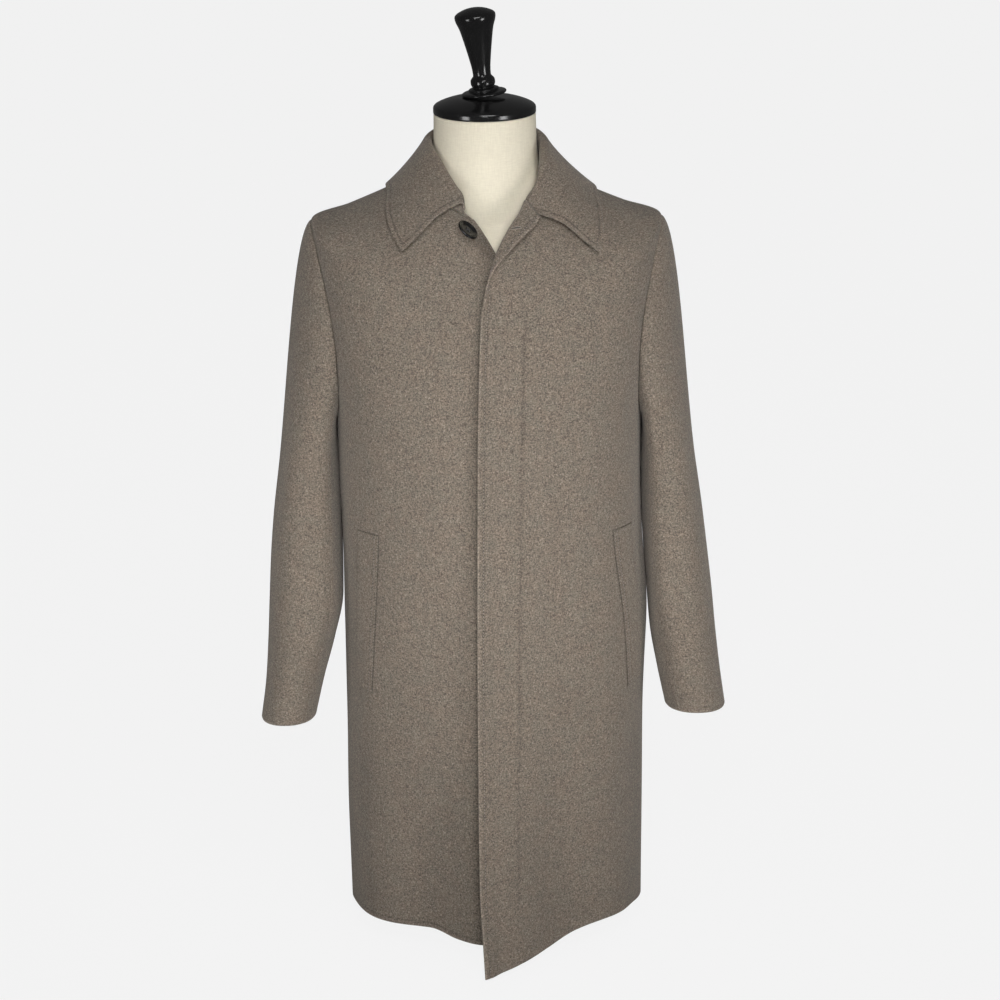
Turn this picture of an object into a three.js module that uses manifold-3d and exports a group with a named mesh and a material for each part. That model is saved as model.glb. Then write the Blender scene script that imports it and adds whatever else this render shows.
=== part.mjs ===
// A man's single-breasted cashmere coat with a fly front and a spread collar, worn by a limbless dress form.
// Millimetres, +Z up, the coat faces -Y, and the origin is the middle of the form's base on the floor.
// Every cloth piece is a thin wall cut from one surface: rings round the body, placed by the tables below.
import * as THREE from "three";
import { mergeVertices } from "three/addons/utils/BufferGeometryUtils.js";
import Module from "manifold-3d";

const wasm = await Module();
wasm.setup();

// Driving sizes of the coat
const CLOTH = 2.0; // thickness of the coating cloth
const COLLAR_CLOTH = 2.4; // the collar is two layers and canvas
const SEAM = 0.3; // gap left between pieces that are sewn together
const HEM_LEVEL = 30;
const ARMPIT_LEVEL = 705;
const SHOULDER_LEVEL = 880; // ring that ends at the shoulder point
const NECK_LEVEL = 975; // ring that the collar is sewn to
const ARMHOLE_FRONT_DEG = 27; // how far the armhole cuts into the front, from the side
const ARMHOLE_BACK_DEG = 25;
const LAP_LIFT = 3.2; // how far the left front lies over the right
const LAP_END_X = 36;
const LAP_FADE = 44;
const ROLL_RADIUS = 3.5; // of the turned-out corner of the left front

// Driving sizes of the dress form
const NECK_RADIUS = 63;
const CAP_Z = 1082;
const TORSO_BOTTOM = 300;
const POLE_RADIUS = 14;
const BASE_RADIUS = 90;
const BASE_HEIGHT = 16;
const FINIAL_LEAN_DEG = 6;

// Rings round the coat. level names a ring by its height at the centre front.
// zSide and zBack are its heights at the side and the back, half its half-width, front and back
// its reach, square its squareness (2 is an ellipse), and sway how far it hangs to the wearer's left.
const bodyRings = [
  { level: 30, zSide: 30, zBack: 32, half: 192.5, front: -143, back: 134, square: 1.82, sway: 0 },
  { level: 150, zSide: 150, zBack: 150, half: 193, front: -143, back: 132, square: 1.9, sway: 0 },
  { level: 300, zSide: 300, zBack: 300, half: 192.5, front: -143, back: 127, square: 2.0, sway: 2 },
  { level: 440, zSide: 440, zBack: 440, half: 193.5, front: -144, back: 120, square: 2.12, sway: 4.5 },
  { level: 560, zSide: 560, zBack: 560, half: 189.5, front: -146, back: 114, square: 2.2, sway: 1 },
  { level: 650, zSide: 650, zBack: 650, half: 189.2, front: -148, back: 114, square: 2.3, sway: 0 },
  { level: 705, zSide: 705, zBack: 705, half: 189.2, front: -149, back: 119, square: 2.4, sway: 0 },
  { level: 760, zSide: 788, zBack: 775, half: 199, front: -148, back: 128, square: 2.45, sway: 0 },
  { level: 820, zSide: 872, zBack: 850, half: 207.5, front: -144, back: 132, square: 2.42, sway: 0 },
  { level: 880, zSide: 953, zBack: 930, half: 213.5, front: -134, back: 122, square: 2.24, sway: 0 },
  { level: 905, zSide: 967, zBack: 958, half: 175, front: -126, back: 111, square: 2.16, sway: 0 },
  { level: 930, zSide: 982.5, zBack: 982, half: 136, front: -117, back: 97, square: 2.1, sway: 0 },
  { level: 955, zSide: 998, zBack: 1004, half: 99, front: -108, back: 81, square: 2.06, sway: 0 },
  { level: 975, zSide: 1009, zBack: 1022, half: 71, front: -99, back: 66, square: 2.03, sway: 0 },
];
const FALL_POWER = 1.6; // how a ring falls away from the shoulder line to front and back

// Soft folds that grow towards the hem. at is the angle round the body: 0 the wearer's left side,
// -90 the front, 90 the back. depth is outwards, top the level where the fold begins.
const folds = [
  { at: -118, spread: 17, depth: -13, top: 620 },
  { at: -98, spread: 9, depth: 5, top: 520 },
  { at: -62, spread: 12, depth: -9, top: 560 },
  { at: -34, spread: 13, depth: 4, top: 480 },
  { at: -146, spread: 12, depth: 4, top: 460 },
  { at: 22, spread: 13, depth: -7, top: 500 },
  { at: 52, spread: 14, depth: 9, top: 640 },
  { at: 80, spread: 11, depth: -6, top: 560 },
  { at: 104, spread: 12, depth: 8, top: 600 },
  { at: 132, spread: 14, depth: -7, top: 520 },
  { at: 158, spread: 12, depth: 5, top: 470 },
];
// How far the hem rides up round the body, fading out at HEM_EASE.
const HEM_EASE = 260;
const hemRise = [
  { at: -180, rise: 0 },
  { at: -158, rise: 6 },
  { at: -139, rise: 7.5 },
  { at: -121, rise: 9 },
  { at: -108, rise: 1 },
  { at: -95, rise: 0 },
  { at: -80, rise: 0 },
  { at: -66, rise: -1.5 },
  { at: -54, rise: 5 },
  { at: -40, rise: 9 },
  { at: -26, rise: 8 },
  { at: -8, rise: 1 },
  { at: 40, rise: -1 },
  { at: 90, rise: 1 },
  { at: 140, rise: -1 },
  { at: 180, rise: 0 },
];

// Front edges. x is where the edge runs across the body at each ring.
const rightEdge = [
  { level: 30, x: 26 },
  { level: 400, x: 30 },
  { level: 700, x: 31 },
  { level: 840, x: 29 },
  { level: 880, x: 25 },
  { level: 915, x: 22 },
  { level: 934, x: 13.5 },
  { level: 945, x: 6.5 },
  { level: 957, x: -2.5 },
  { level: 966, x: -9.5 },
  { level: 975, x: -17 },
];
// The left front's roll line, the width of cloth beyond it, how far that slides down the line, and its turn out.
const leftEdge = [
  { level: 30, x: -9, flap: 6, slide: 0, turn: 0 },
  { level: 150, x: -14, flap: 6, slide: 0, turn: 0 },
  { level: 370, x: -13, flap: 6, slide: 0, turn: 0 },
  { level: 640, x: -9, flap: 6, slide: 0, turn: 0 },
  { level: 764, x: -6, flap: 6, slide: 0, turn: 0 },
  { level: 864, x: -1.5, flap: 6, slide: 0, turn: 0 },
  { level: 886, x: 2, flap: 6, slide: 0, turn: 30 },
  { level: 902, x: 4.8, flap: 8, slide: 0, turn: 80 },
  { level: 917, x: 9.5, flap: 12.5, slide: 0, turn: 122 },
  { level: 932, x: 15, flap: 18, slide: 0, turn: 146 },
  { level: 942, x: 20, flap: 21.5, slide: 0, turn: 154 },
  { level: 951, x: 25.5, flap: 24.5, slide: 0, turn: 158 },
  { level: 960, x: 33, flap: 27.5, slide: 3, turn: 160 },
  { level: 968, x: 43, flap: 30, slide: 9, turn: 162 },
  { level: 975, x: 50, flap: 28.5, slide: 22, turn: 163 },
];
// How far the left front swings forward at its edge, and over what width.
const leftSwing = [
  { level: 30, lift: 52, reach: 136 },
  { level: 150, lift: 35, reach: 122 },
  { level: 300, lift: 19, reach: 98 },
  { level: 500, lift: 11, reach: 86 },
  { level: 700, lift: 6, reach: 74 },
  { level: 860, lift: 1.5, reach: 60 },
  { level: 975, lift: 0, reach: 60 },
];

const SWING_DROP = 0.44; // how much the swung corner sinks at the hem

// Sleeve rings below the armhole, from the underarm to the cuff. part is the share of that length,
// inner and outer the distances of its sides from the body's centre, middle and deep its place and half-depth.
const SLEEVE_TOP_Z = 640;
const sleeveRings = [
  { part: 0, middle: 8, deep: 76, tilt: 0, innerLeft: 190.4, outerLeft: 259, innerRight: 190, outerRight: 266 },
  { part: 0.2, middle: 4, deep: 75, tilt: 0.01, innerLeft: 192.2, outerLeft: 268, innerRight: 189.7, outerRight: 275 },
  { part: 0.36, middle: -3, deep: 73, tilt: 0.03, innerLeft: 195.3, outerLeft: 274, innerRight: 189.7, outerRight: 280 },
  { part: 0.53, middle: -12, deep: 70, tilt: 0.06, innerLeft: 198.7, outerLeft: 280, innerRight: 191, outerRight: 283.5 },
  { part: 0.69, middle: -22, deep: 66.5, tilt: 0.1, innerLeft: 202, outerLeft: 284.5, innerRight: 203, outerRight: 286.5 },
  { part: 0.85, middle: -33, deep: 62, tilt: 0.13, innerLeft: 210, outerLeft: 290, innerRight: 216, outerRight: 290.5 },
  { part: 1, middle: -45, deep: 58, tilt: 0.15, innerLeft: 220, outerLeft: 296.5, innerRight: 228, outerRight: 297.5 },
];
const sleeveSides = [
  { name: "left", side: 1, cuffZ: 326, inner: "innerLeft", outer: "outerLeft" },
  { name: "right", side: -1, cuffZ: 316, inner: "innerRight", outer: "outerRight" },
];
const FOREARM_SEAM_DEG = 125; // from the outer side of the sleeve, round the front
const HINDARM_SEAM_DEG = 235;

// The collar, from the centre back (part 0) to its front end (part 1). seam and edge are angles from
// the side: 90 the back, negative the front. level is the ring under its outer edge, stand its height,
// lean how far the stand leans out, face and turn the way that the fall leaves the roll.
const collarSections = [
  { part: 0, stand: 38, face: 90, turn: 150, rest: 3.4 },
  { part: 0.22, stand: 38, face: 56, turn: 150, rest: 3.4 },
  { part: 0.42, stand: 39.5, face: 14, turn: 150, rest: 3.4 },
  { part: 0.56, stand: 39, face: -8, turn: 148, rest: 3.6 },
  { part: 0.72, stand: 29, face: -16, turn: 138, rest: 4 },
  { part: 0.88, stand: 15, face: -14, turn: 122, rest: 5 },
  { part: 1, stand: 5.5, face: -10, turn: 108, rest: 6 },
];
const collarLeft = [
  { part: 0, seam: 90, edge: 90, level: 928, lean: 0 },
  { part: 0.22, seam: 56, edge: 54, level: 929, lean: -1 },
  { part: 0.42, seam: 14, edge: 19, level: 934, lean: -4 },
  { part: 0.56, seam: -11, edge: -6, level: 932, lean: -2 },
  { part: 0.72, seam: -27, edge: -21, level: 924, lean: 2.5 },
  { part: 0.88, seam: -41, edge: -36, level: 910, lean: 5 },
  { part: 1, seam: -52, edge: -45.8, level: 899, lean: 3 },
];
const collarRight = [
  { part: 0, seam: 90, edge: 90, level: 928, lean: 0 },
  { part: 0.22, seam: 56, edge: 54, level: 930, lean: -1 },
  { part: 0.42, seam: 14, edge: 19, level: 939, lean: -4 },
  { part: 0.56, seam: -14, edge: -8, level: 942, lean: -6.5 },
  { part: 0.72, seam: -34, edge: -24, level: 935, lean: -12 },
  { part: 0.88, seam: -53, edge: -40.5, level: 922, lean: -13 },
  { part: 1, seam: -66, edge: -53, level: 911, lean: -3 },
];
// How far the collar's ends reach past a straight cut, across from the seam (0) to the outer edge (1).
const collarEnd = [
  { across: 0, left: -7, right: 10.5 },
  { across: 0.22, left: -6, right: -7 },
  { across: 0.48, left: -4, right: -9.5 },
  { across: 0.6, left: 6, right: -9.5 },
  { across: 0.65, left: 5, right: -8 },
  { across: 0.72, left: -0.5, right: -4.5 },
  { across: 0.8, left: -4, right: 0 },
  { across: 0.9, left: -2, right: 1 },
  { across: 1, left: 0, right: 0 },
];
const COLLAR_ROLL = 3.6;

// The slanted pocket welts: angle of the inner edge from the side at top and bottom.
const pockets = [
  { name: "left", side: 1, topDeg: 40, bottomDeg: 31 },
  { name: "right", side: -1, topDeg: 45.5, bottomDeg: 37 },
];
const WELT_CLOTH = 1.5;
const WELT_GAP = 0.6;
const WELT_TOP_Z = 581;
const WELT_BOTTOM_Z = 366;
const WELT_WIDTH_DEG = 14;
const WELT_TOP_SLOPE = 9; // how much higher the outer corners sit
const WELT_BOTTOM_SLOPE = 14;

// The dress form below its shoulders, as rings like the coat's.
const formRings = [
  { level: 300, zSide: 300, zBack: 300, half: 150, front: -96, back: 92, square: 2.1 },
  { level: 318, zSide: 318, zBack: 318, half: 158, front: -104, back: 99, square: 2.1 },
  { level: 400, zSide: 400, zBack: 400, half: 164, front: -110, back: 103, square: 2.1 },
  { level: 500, zSide: 500, zBack: 500, half: 153, front: -107, back: 92, square: 2.1 },
  { level: 600, zSide: 600, zBack: 600, half: 141, front: -106, back: 84, square: 2.15 },
  { level: 700, zSide: 700, zBack: 700, half: 154, front: -120, back: 94, square: 2.2 },
  { level: 780, zSide: 800, zBack: 790, half: 171, front: -130, back: 109, square: 2.3 },
  { level: 840, zSide: 885, zBack: 872, half: 184, front: -130, back: 116, square: 2.35 },
  { level: 872, zSide: 934, zBack: 916, half: 190, front: -126, back: 115, square: 2.35 },
];
const FORM_GAP = 0.6; // the coat lies on the form's shoulders
const FRONT_RECESS = 27; // how far the form's chest lies behind the coat's opening
const NECK_RECESS = 4;
const STAND_BACK = 15; // how far the form stands forward of the pole

const radians = THREE.MathUtils.degToRad;
const { clamp, smoothstep } = THREE.MathUtils;

// A smooth curve through one column of a table.
function along(rows, key, column, at) {
  const last = rows.length - 1;
  const k = clamp(rows.findIndex((r) => r[key] > at) - 1, 0, last - 1);
  const i = at >= rows[last][key] ? last - 1 : k;
  const slope = (a, b) => (rows[b][column] - rows[a][column]) / (rows[b][key] - rows[a][key]);
  const tangent = (n) => {
    if (n === 0) return slope(0, 1);
    if (n === last) return slope(last - 1, last);
    const before = slope(n - 1, n);
    const after = slope(n, n + 1);
    return before * after <= 0 ? 0 : (2 * before * after) / (before + after);
  };
  const width = rows[i + 1][key] - rows[i][key];
  const s = clamp((at - rows[i][key]) / width, 0, 1);
  const rise = s * s * (3 - 2 * s);
  const start = s * (1 - s) * (1 - s) * width * tangent(i);
  const end = s * s * (s - 1) * width * tangent(i + 1);
  return rows[i][column] * (1 - rise) + rows[i + 1][column] * rise + start + end;
}

// A point of a ring: a superellipse in plan, falling from its sides to front and back.
function ringPoint(rings, angle, level) {
  const c = Math.cos(angle);
  const s = Math.sin(angle);
  const at = (column) => along(rings, "level", column, level);
  const power = 2 / at("square");
  const side = at("zSide");
  const middle = s < 0 ? level : at("zBack");
  return new THREE.Vector3(
    (at("sway") || 0) + at("half") * Math.sign(c) * Math.abs(c) ** power,
    (s < 0 ? -at("front") : at("back")) * Math.sign(s) * Math.abs(s) ** power,
    side + (middle - side) * Math.abs(s) ** FALL_POWER
  );
}

// The coat's outer surface, with its folds.
function coatPoint(angle, level) {
  const point = ringPoint(bodyRings, angle, level);
  const outward = new THREE.Vector2(Math.cos(angle), Math.sin(angle));
  for (const fold of folds) {
    const turn = Math.atan2(Math.sin(angle - radians(fold.at)), Math.cos(angle - radians(fold.at)));
    const strength = Math.exp(-((turn / radians(fold.spread)) ** 2));
    const low = clamp((fold.top - level) / (fold.top - HEM_LEVEL), 0, 1);
    const push = fold.depth * strength * low ** 1.4;
    point.x += push * outward.x;
    point.y += push * outward.y;
  }
  const degrees = THREE.MathUtils.radToDeg(Math.atan2(outward.y, outward.x));
  const near = clamp((HEM_EASE - level) / (HEM_EASE - HEM_LEVEL), 0, 1);
  point.z += near ** 2 * along(hemRise, "at", "rise", degrees);
  return point;
}

// The angle at which the body's surface lies x across, on the front.
function frontAngle(x, level) {
  const half = along(bodyRings, "level", "half", level);
  const square = along(bodyRings, "level", "square", level);
  const across = x - along(bodyRings, "level", "sway", level);
  const c = Math.sign(across) * (Math.abs(across) / half) ** (square / 2);
  return -Math.acos(clamp(c, -1, 1));
}

// The armhole is an ellipse in angle and level. turn runs from the shoulder (0) over the front to the underarm (PI).
const ARMHOLE_MIDDLE = (ARMPIT_LEVEL + SHOULDER_LEVEL) / 2;
const ARMHOLE_REACH = (SHOULDER_LEVEL - ARMPIT_LEVEL) / 2;
function armholePoint(turn, scale = 1) {
  const wide = Math.sin(turn) > 0 ? -ARMHOLE_FRONT_DEG : -ARMHOLE_BACK_DEG;
  return coatPoint(radians(wide) * Math.sin(turn) * scale, ARMHOLE_MIDDLE + ARMHOLE_REACH * Math.cos(turn) * scale);
}

// Half-angle of the armhole at a ring.
function armholeAngle(level, widestDeg) {
  const share = (level - ARMHOLE_MIDDLE) / ARMHOLE_REACH;
  return Math.abs(share) >= 1 ? 0 : radians(widestDeg) * Math.sqrt(1 - share * share);
}

// Rows of a body panel, from the hem to the neck, closer together round the armhole's ends.
const SKIRT_ROWS = 12;
const ARMHOLE_ROWS = 12;
const YOKE_ROWS = 6;
const PANEL_ROWS = SKIRT_ROWS + ARMHOLE_ROWS + YOKE_ROWS;
function panelLevel(v) {
  const row = v * PANEL_ROWS;
  if (row <= SKIRT_ROWS) return HEM_LEVEL + ((ARMPIT_LEVEL - HEM_LEVEL) * row) / SKIRT_ROWS;
  if (row <= SKIRT_ROWS + ARMHOLE_ROWS) {
    return ARMHOLE_MIDDLE - ARMHOLE_REACH * Math.cos((Math.PI * (row - SKIRT_ROWS)) / ARMHOLE_ROWS);
  }
  return SHOULDER_LEVEL + ((NECK_LEVEL - SHOULDER_LEVEL) * (row - SKIRT_ROWS - ARMHOLE_ROWS)) / YOKE_ROWS;
}

// The surface normal of a function of two parameters, by small steps.
function normalAt(surface, u, v) {
  const step = 1e-3;
  const [u0, u1] = [Math.max(u - step, 0), Math.min(u + step, 1)];
  const [v0, v1] = [Math.max(v - step, 0), Math.min(v + step, 1)];
  const du = surface(u1, v).sub(surface(u0, v));
  const dv = surface(u, v1).sub(surface(u, v0));
  return du.cross(dv).normalize();
}

// A cloth wall: the outer surface, the same moved in by its thickness, and the rim between them.
function clothWall(surface, columns, rows, thickness, facing = 1) {
  const positions = [];
  const index = [];
  const layer = (columns + 1) * (rows + 1);
  const inner = [];
  for (let j = 0; j <= rows; j++) {
    for (let i = 0; i <= columns; i++) {
      const point = surface(i / columns, j / rows);
      positions.push(point.x, point.y, point.z);
      const normal = normalAt(surface, i / columns, j / rows).multiplyScalar(facing);
      inner.push(...point.addScaledVector(normal, -thickness).toArray());
    }
  }
  positions.push(...inner);
  const quad = (a, b, c, d) => (facing > 0 ? index.push(a, b, c, a, c, d) : index.push(a, c, b, a, d, c));
  const at = (i, j) => j * (columns + 1) + i;
  for (let j = 0; j < rows; j++) {
    for (let i = 0; i < columns; i++) {
      quad(at(i, j), at(i + 1, j), at(i + 1, j + 1), at(i, j + 1));
      quad(layer + at(i, j), layer + at(i, j + 1), layer + at(i + 1, j + 1), layer + at(i + 1, j));
    }
  }
  for (let i = 0; i < columns; i++) {
    quad(at(i + 1, 0), at(i, 0), layer + at(i, 0), layer + at(i + 1, 0));
    quad(at(i, rows), at(i + 1, rows), layer + at(i + 1, rows), layer + at(i, rows));
  }
  for (let j = 0; j < rows; j++) {
    quad(at(0, j), at(0, j + 1), layer + at(0, j + 1), layer + at(0, j));
    quad(at(columns, j + 1), at(columns, j), layer + at(columns, j), layer + at(columns, j + 1));
  }
  return meshGeometry(positions, index);
}

function meshGeometry(positions, index) {
  const geometry = new THREE.BufferGeometry();
  geometry.setAttribute("position", new THREE.Float32BufferAttribute(positions, 3));
  geometry.setIndex(index);
  geometry.computeVertexNormals();
  return geometry;
}

// A solid skinned over closed rings, from the bottom ring to the top one.
function ringSolid(ring, around, rows) {
  const positions = [];
  const index = [];
  for (let j = 0; j <= rows; j++) {
    for (let i = 0; i < around; i++) positions.push(...ring((2 * Math.PI * i) / around, j / rows).toArray());
  }
  for (const j of [0, rows]) {
    const middle = new THREE.Vector3();
    for (let i = 0; i < around; i++) middle.add(ring((2 * Math.PI * i) / around, j / rows));
    positions.push(...middle.divideScalar(around).toArray());
  }
  const at = (i, j) => j * around + (i % around);
  const bottom = around * (rows + 1);
  for (let i = 0; i < around; i++) {
    for (let j = 0; j < rows; j++) {
      index.push(at(i, j), at(i + 1, j), at(i + 1, j + 1), at(i, j), at(i + 1, j + 1), at(i, j + 1));
    }
    index.push(bottom, at(i + 1, 0), at(i, 0), bottom + 1, at(i, rows), at(i + 1, rows));
  }
  return meshGeometry(positions, index);
}

// Degrees round a ring that take up one seam gap.
const seamAngle = (level) => SEAM / 2 / along(bodyRings, "level", "half", level);

// The outer end of a front panel: side seam, then armhole, then shoulder seam. side is 1 on the wearer's left.
function frontEnd(side, level) {
  const angle = -armholeAngle(level, ARMHOLE_FRONT_DEG) - seamAngle(level);
  return side > 0 ? angle : -Math.PI - angle;
}

// The right front lies under the left, and its top rolls in towards the neck.
const RIGHT_ROLL = 24;
const RIGHT_ROLL_WIDTH = 40;
const RIGHT_ROLL_FADE = 0.6;
function rightFront(u, v) {
  const level = panelLevel(v);
  const start = frontAngle(along(rightEdge, "level", "x", level), level);
  const angle = start + (frontEnd(-1, level) - start) * u;
  const point = coatPoint(angle, level);
  const fromEdge = along(rightEdge, "level", "x", level) - point.x;
  const strength = smoothstep(level, 880, 962) * (1 - RIGHT_ROLL_FADE * smoothstep(level, 950, NECK_LEVEL));
  const depth = RIGHT_ROLL * clamp(1 - fromEdge / RIGHT_ROLL_WIDTH, 0, 1) ** 2 * strength;
  if (depth === 0) return point;
  const skin = (a, b) => coatPoint(angle + (a - 0.5) * 0.1, level - 1 + b);
  return point.addScaledVector(normalAt(skin, 0.5, 1), -depth);
}

// The left front between its roll line and its outer end.
function leftPanel(share, level) {
  const start = frontAngle(along(leftEdge, "level", "x", level), level);
  const point = coatPoint(start + (frontEnd(1, level) - start) * share, level);
  const lap = LAP_LIFT * (1 - smoothstep(point.x, LAP_END_X, LAP_END_X + LAP_FADE));
  const fromEdge = point.x - along(leftEdge, "level", "x", level);
  const reach = along(leftSwing, "level", "reach", level);
  const swing = along(leftSwing, "level", "lift", level) * (1 - smoothstep(fromEdge, -reach / 3, reach));
  point.y -= lap + swing;
  point.z -= SWING_DROP * swing * clamp((HEM_EASE - level) / (HEM_EASE - HEM_LEVEL), 0, 1);
  return point;
}

// The left front whole: first the cloth beyond the roll line, turned out at the top, then the panel.
const FLAP_SHARE = 6 / 20;
function leftFront(u, v) {
  const level = panelLevel(v);
  if (u >= FLAP_SHARE) return leftPanel((u - FLAP_SHARE) / (1 - FLAP_SHARE), level);
  const share = 1 - u / FLAP_SHARE;
  const at = (column) => along(leftEdge, "level", column, level);
  const fold = leftPanel(0, level);
  const outward = fold.clone().sub(leftPanel(0.02, level)).normalize();
  const higher = Math.min(level + 2, NECK_LEVEL);
  const roll = leftPanel(0, higher).sub(leftPanel(0, higher - 4)).normalize();
  const normal = roll.clone().cross(outward).normalize();
  const across = normal.clone().cross(roll);
  const onward = at("flap") * share;
  const bend = Math.min(radians(at("turn")), onward / ROLL_RADIUS);
  const beyond = onward - bend * ROLL_RADIUS;
  const flat = ROLL_RADIUS * Math.sin(bend) + beyond * Math.cos(bend);
  const raised = ROLL_RADIUS * (1 - Math.cos(bend)) + beyond * Math.sin(bend);
  fold.addScaledVector(roll, -at("slide") * share);
  return fold.addScaledVector(across, flat).addScaledVector(normal, raised);
}

function backPanel(u, v) {
  const level = panelLevel(v);
  const start = armholeAngle(level, ARMHOLE_BACK_DEG) + seamAngle(level);
  return coatPoint(start + (Math.PI - 2 * start) * u, level);
}

// A sleeve ring below the underarm, turn measured from the outer side round the front.
function sleeveRing(turn, part, sleeve) {
  const at = (column) => along(sleeveRings, "part", column, part);
  const half = (at(sleeve.outer) - at(sleeve.inner)) / 2;
  const round = (value) => Math.sign(value) * Math.abs(value) ** 0.92;
  return new THREE.Vector3(
    at(sleeve.inner) + half + half * round(Math.cos(turn)),
    at("middle") - at("deep") * round(Math.sin(turn)),
    SLEEVE_TOP_Z + (sleeve.cuffZ - SLEEVE_TOP_Z) * part + at("tilt") * at("deep") * Math.sin(turn)
  );
}

// The sleeve: a curve from the armhole to the first ring, then down the rings to the cuff.
const CAP_SHARE = 9 / 20;
function sleevePoint(turn, s, sleeve) {
  if (s > CAP_SHARE) return sleeveRing(turn, (s - CAP_SHARE) / (1 - CAP_SHARE), sleeve);
  const t = (s / CAP_SHARE) ** 1.2;
  const start = armholePoint(turn);
  start.addScaledVector(armholePoint(turn, 0.97).sub(start).normalize(), SEAM + 0.15);
  const end = sleeveRing(turn, 0, sleeve);
  const top = (1 + Math.cos(turn)) / 2;
  const leave = new THREE.Vector3(
    14 + 54 * top,
    -18 * Math.sin(turn),
    -22 - 45 * Math.sin(turn) ** 2 + 32 * (1 - top) ** 3
  );
  const arrive = sleeveRing(turn, 0.05, sleeve).sub(end).normalize().multiplyScalar(0.9 * start.distanceTo(end));
  const rise = t * t * (3 - 2 * t);
  return start
    .clone()
    .lerp(end, rise)
    .addScaledVector(leave, t * (1 - t) ** 2)
    .addScaledVector(arrive, t * t * (t - 1));
}

// One half of a two-piece sleeve, between two seam angles.
function sleevePiece(sleeve, fromDeg, toDeg, columns) {
  const gap = SEAM / 2 / 60;
  const surface = (u, v) => {
    const turn = radians(fromDeg) + gap + (radians(toDeg - fromDeg) - 2 * gap) * u;
    const point = sleevePoint(turn, v, sleeve);
    point.x *= sleeve.side;
    return point;
  };
  return clothWall(surface, columns, 20, CLOTH, sleeve.side);
}

// The collar's section at one place: up the stand, over the roll and down the fall to its outer edge.
const STAND_SHARE = 2 / 9;
const ROLL_SHARE = 3 / 9;
function collarSection(part, w, ends) {
  const at = (column) => along(collarSections, "part", column, part);
  const edgeTurn = radians(along(ends, "part", "edge", part));
  const edgeLevel = along(ends, "part", "level", part);
  const rollTurn = radians(at("turn"));
  const foot = ringPoint(bodyRings, radians(along(ends, "part", "seam", part)), NECK_LEVEL);
  const outward = new THREE.Vector3(Math.cos(radians(at("face"))), Math.sin(radians(at("face"))), 0);
  foot.z += SEAM + 0.3;
  const lean = along(ends, "part", "lean", part);
  const top = foot.clone().addScaledVector(outward, lean + COLLAR_ROLL);
  top.z += at("stand") - COLLAR_ROLL;
  const rollStart = top.clone().addScaledVector(outward, -COLLAR_ROLL);
  const point = new THREE.Vector3();
  if (w <= STAND_SHARE) {
    point.lerpVectors(foot, rollStart, w / STAND_SHARE);
  } else {
    const turn = Math.min((w - STAND_SHARE) / ROLL_SHARE, 1) * rollTurn;
    point.copy(top).addScaledVector(outward, -COLLAR_ROLL * Math.cos(turn));
    point.z += COLLAR_ROLL * Math.sin(turn);
    if (w > STAND_SHARE + ROLL_SHARE) {
      const t = (w - STAND_SHARE - ROLL_SHARE) / (1 - STAND_SHARE - ROLL_SHARE);
      const edge = coatPoint(edgeTurn, edgeLevel);
      const above = normalAt((a, b) => coatPoint(edgeTurn + a * 0.1, edgeLevel + b * 8), 0, 0);
      edge.addScaledVector(above, at("rest"));
      const reach = point.distanceTo(edge);
      const leave = outward.clone().multiplyScalar(Math.sin(rollTurn) * 0.7 * reach);
      leave.z = Math.cos(rollTurn) * 0.7 * reach;
      const arrive = edge.clone().sub(point).normalize().multiplyScalar(reach);
      arrive.z *= 0.75;
      const rise = t * t * (3 - 2 * t);
      point.lerp(edge, rise).addScaledVector(leave, t * (1 - t) ** 2).addScaledVector(arrive, t * t * (t - 1));
    }
  }
  return point;
}

// The collar whole, each front end slid along so that its edge is curved.
function collarPoint(v, w) {
  const side = v < 0.5 ? -1 : 1;
  const part = Math.abs(2 * v - 1);
  const ends = side > 0 ? collarLeft : collarRight;
  const reach = along(collarEnd, "across", side > 0 ? "left" : "right", w) * smoothstep(part, 0.7, 1);
  const onward = collarSection(1, w, ends).sub(collarSection(0.95, w, ends)).normalize();
  const point = collarSection(part, w, ends).addScaledVector(onward, reach);
  point.x *= side;
  return point;
}

// A pocket welt: a patch of its front, moved out by the gap and its own thickness.
function weltSurface(pocket) {
  return (u, v) => {
    const slope = WELT_BOTTOM_SLOPE + (WELT_TOP_SLOPE - WELT_BOTTOM_SLOPE) * v;
    const z = WELT_BOTTOM_Z + (WELT_TOP_Z - WELT_BOTTOM_Z) * v + slope * u;
    const inner = pocket.bottomDeg + (pocket.topDeg - pocket.bottomDeg) * v;
    const turn = -radians(inner - WELT_WIDTH_DEG * u);
    const angle = pocket.side > 0 ? turn : -Math.PI - turn;
    const surface = (a, b) => coatPoint(angle + a * 0.1, z + b * 20);
    return coatPoint(angle, z).addScaledVector(normalAt(surface, 0, 0), WELT_GAP + WELT_CLOTH);
  };
}

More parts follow.
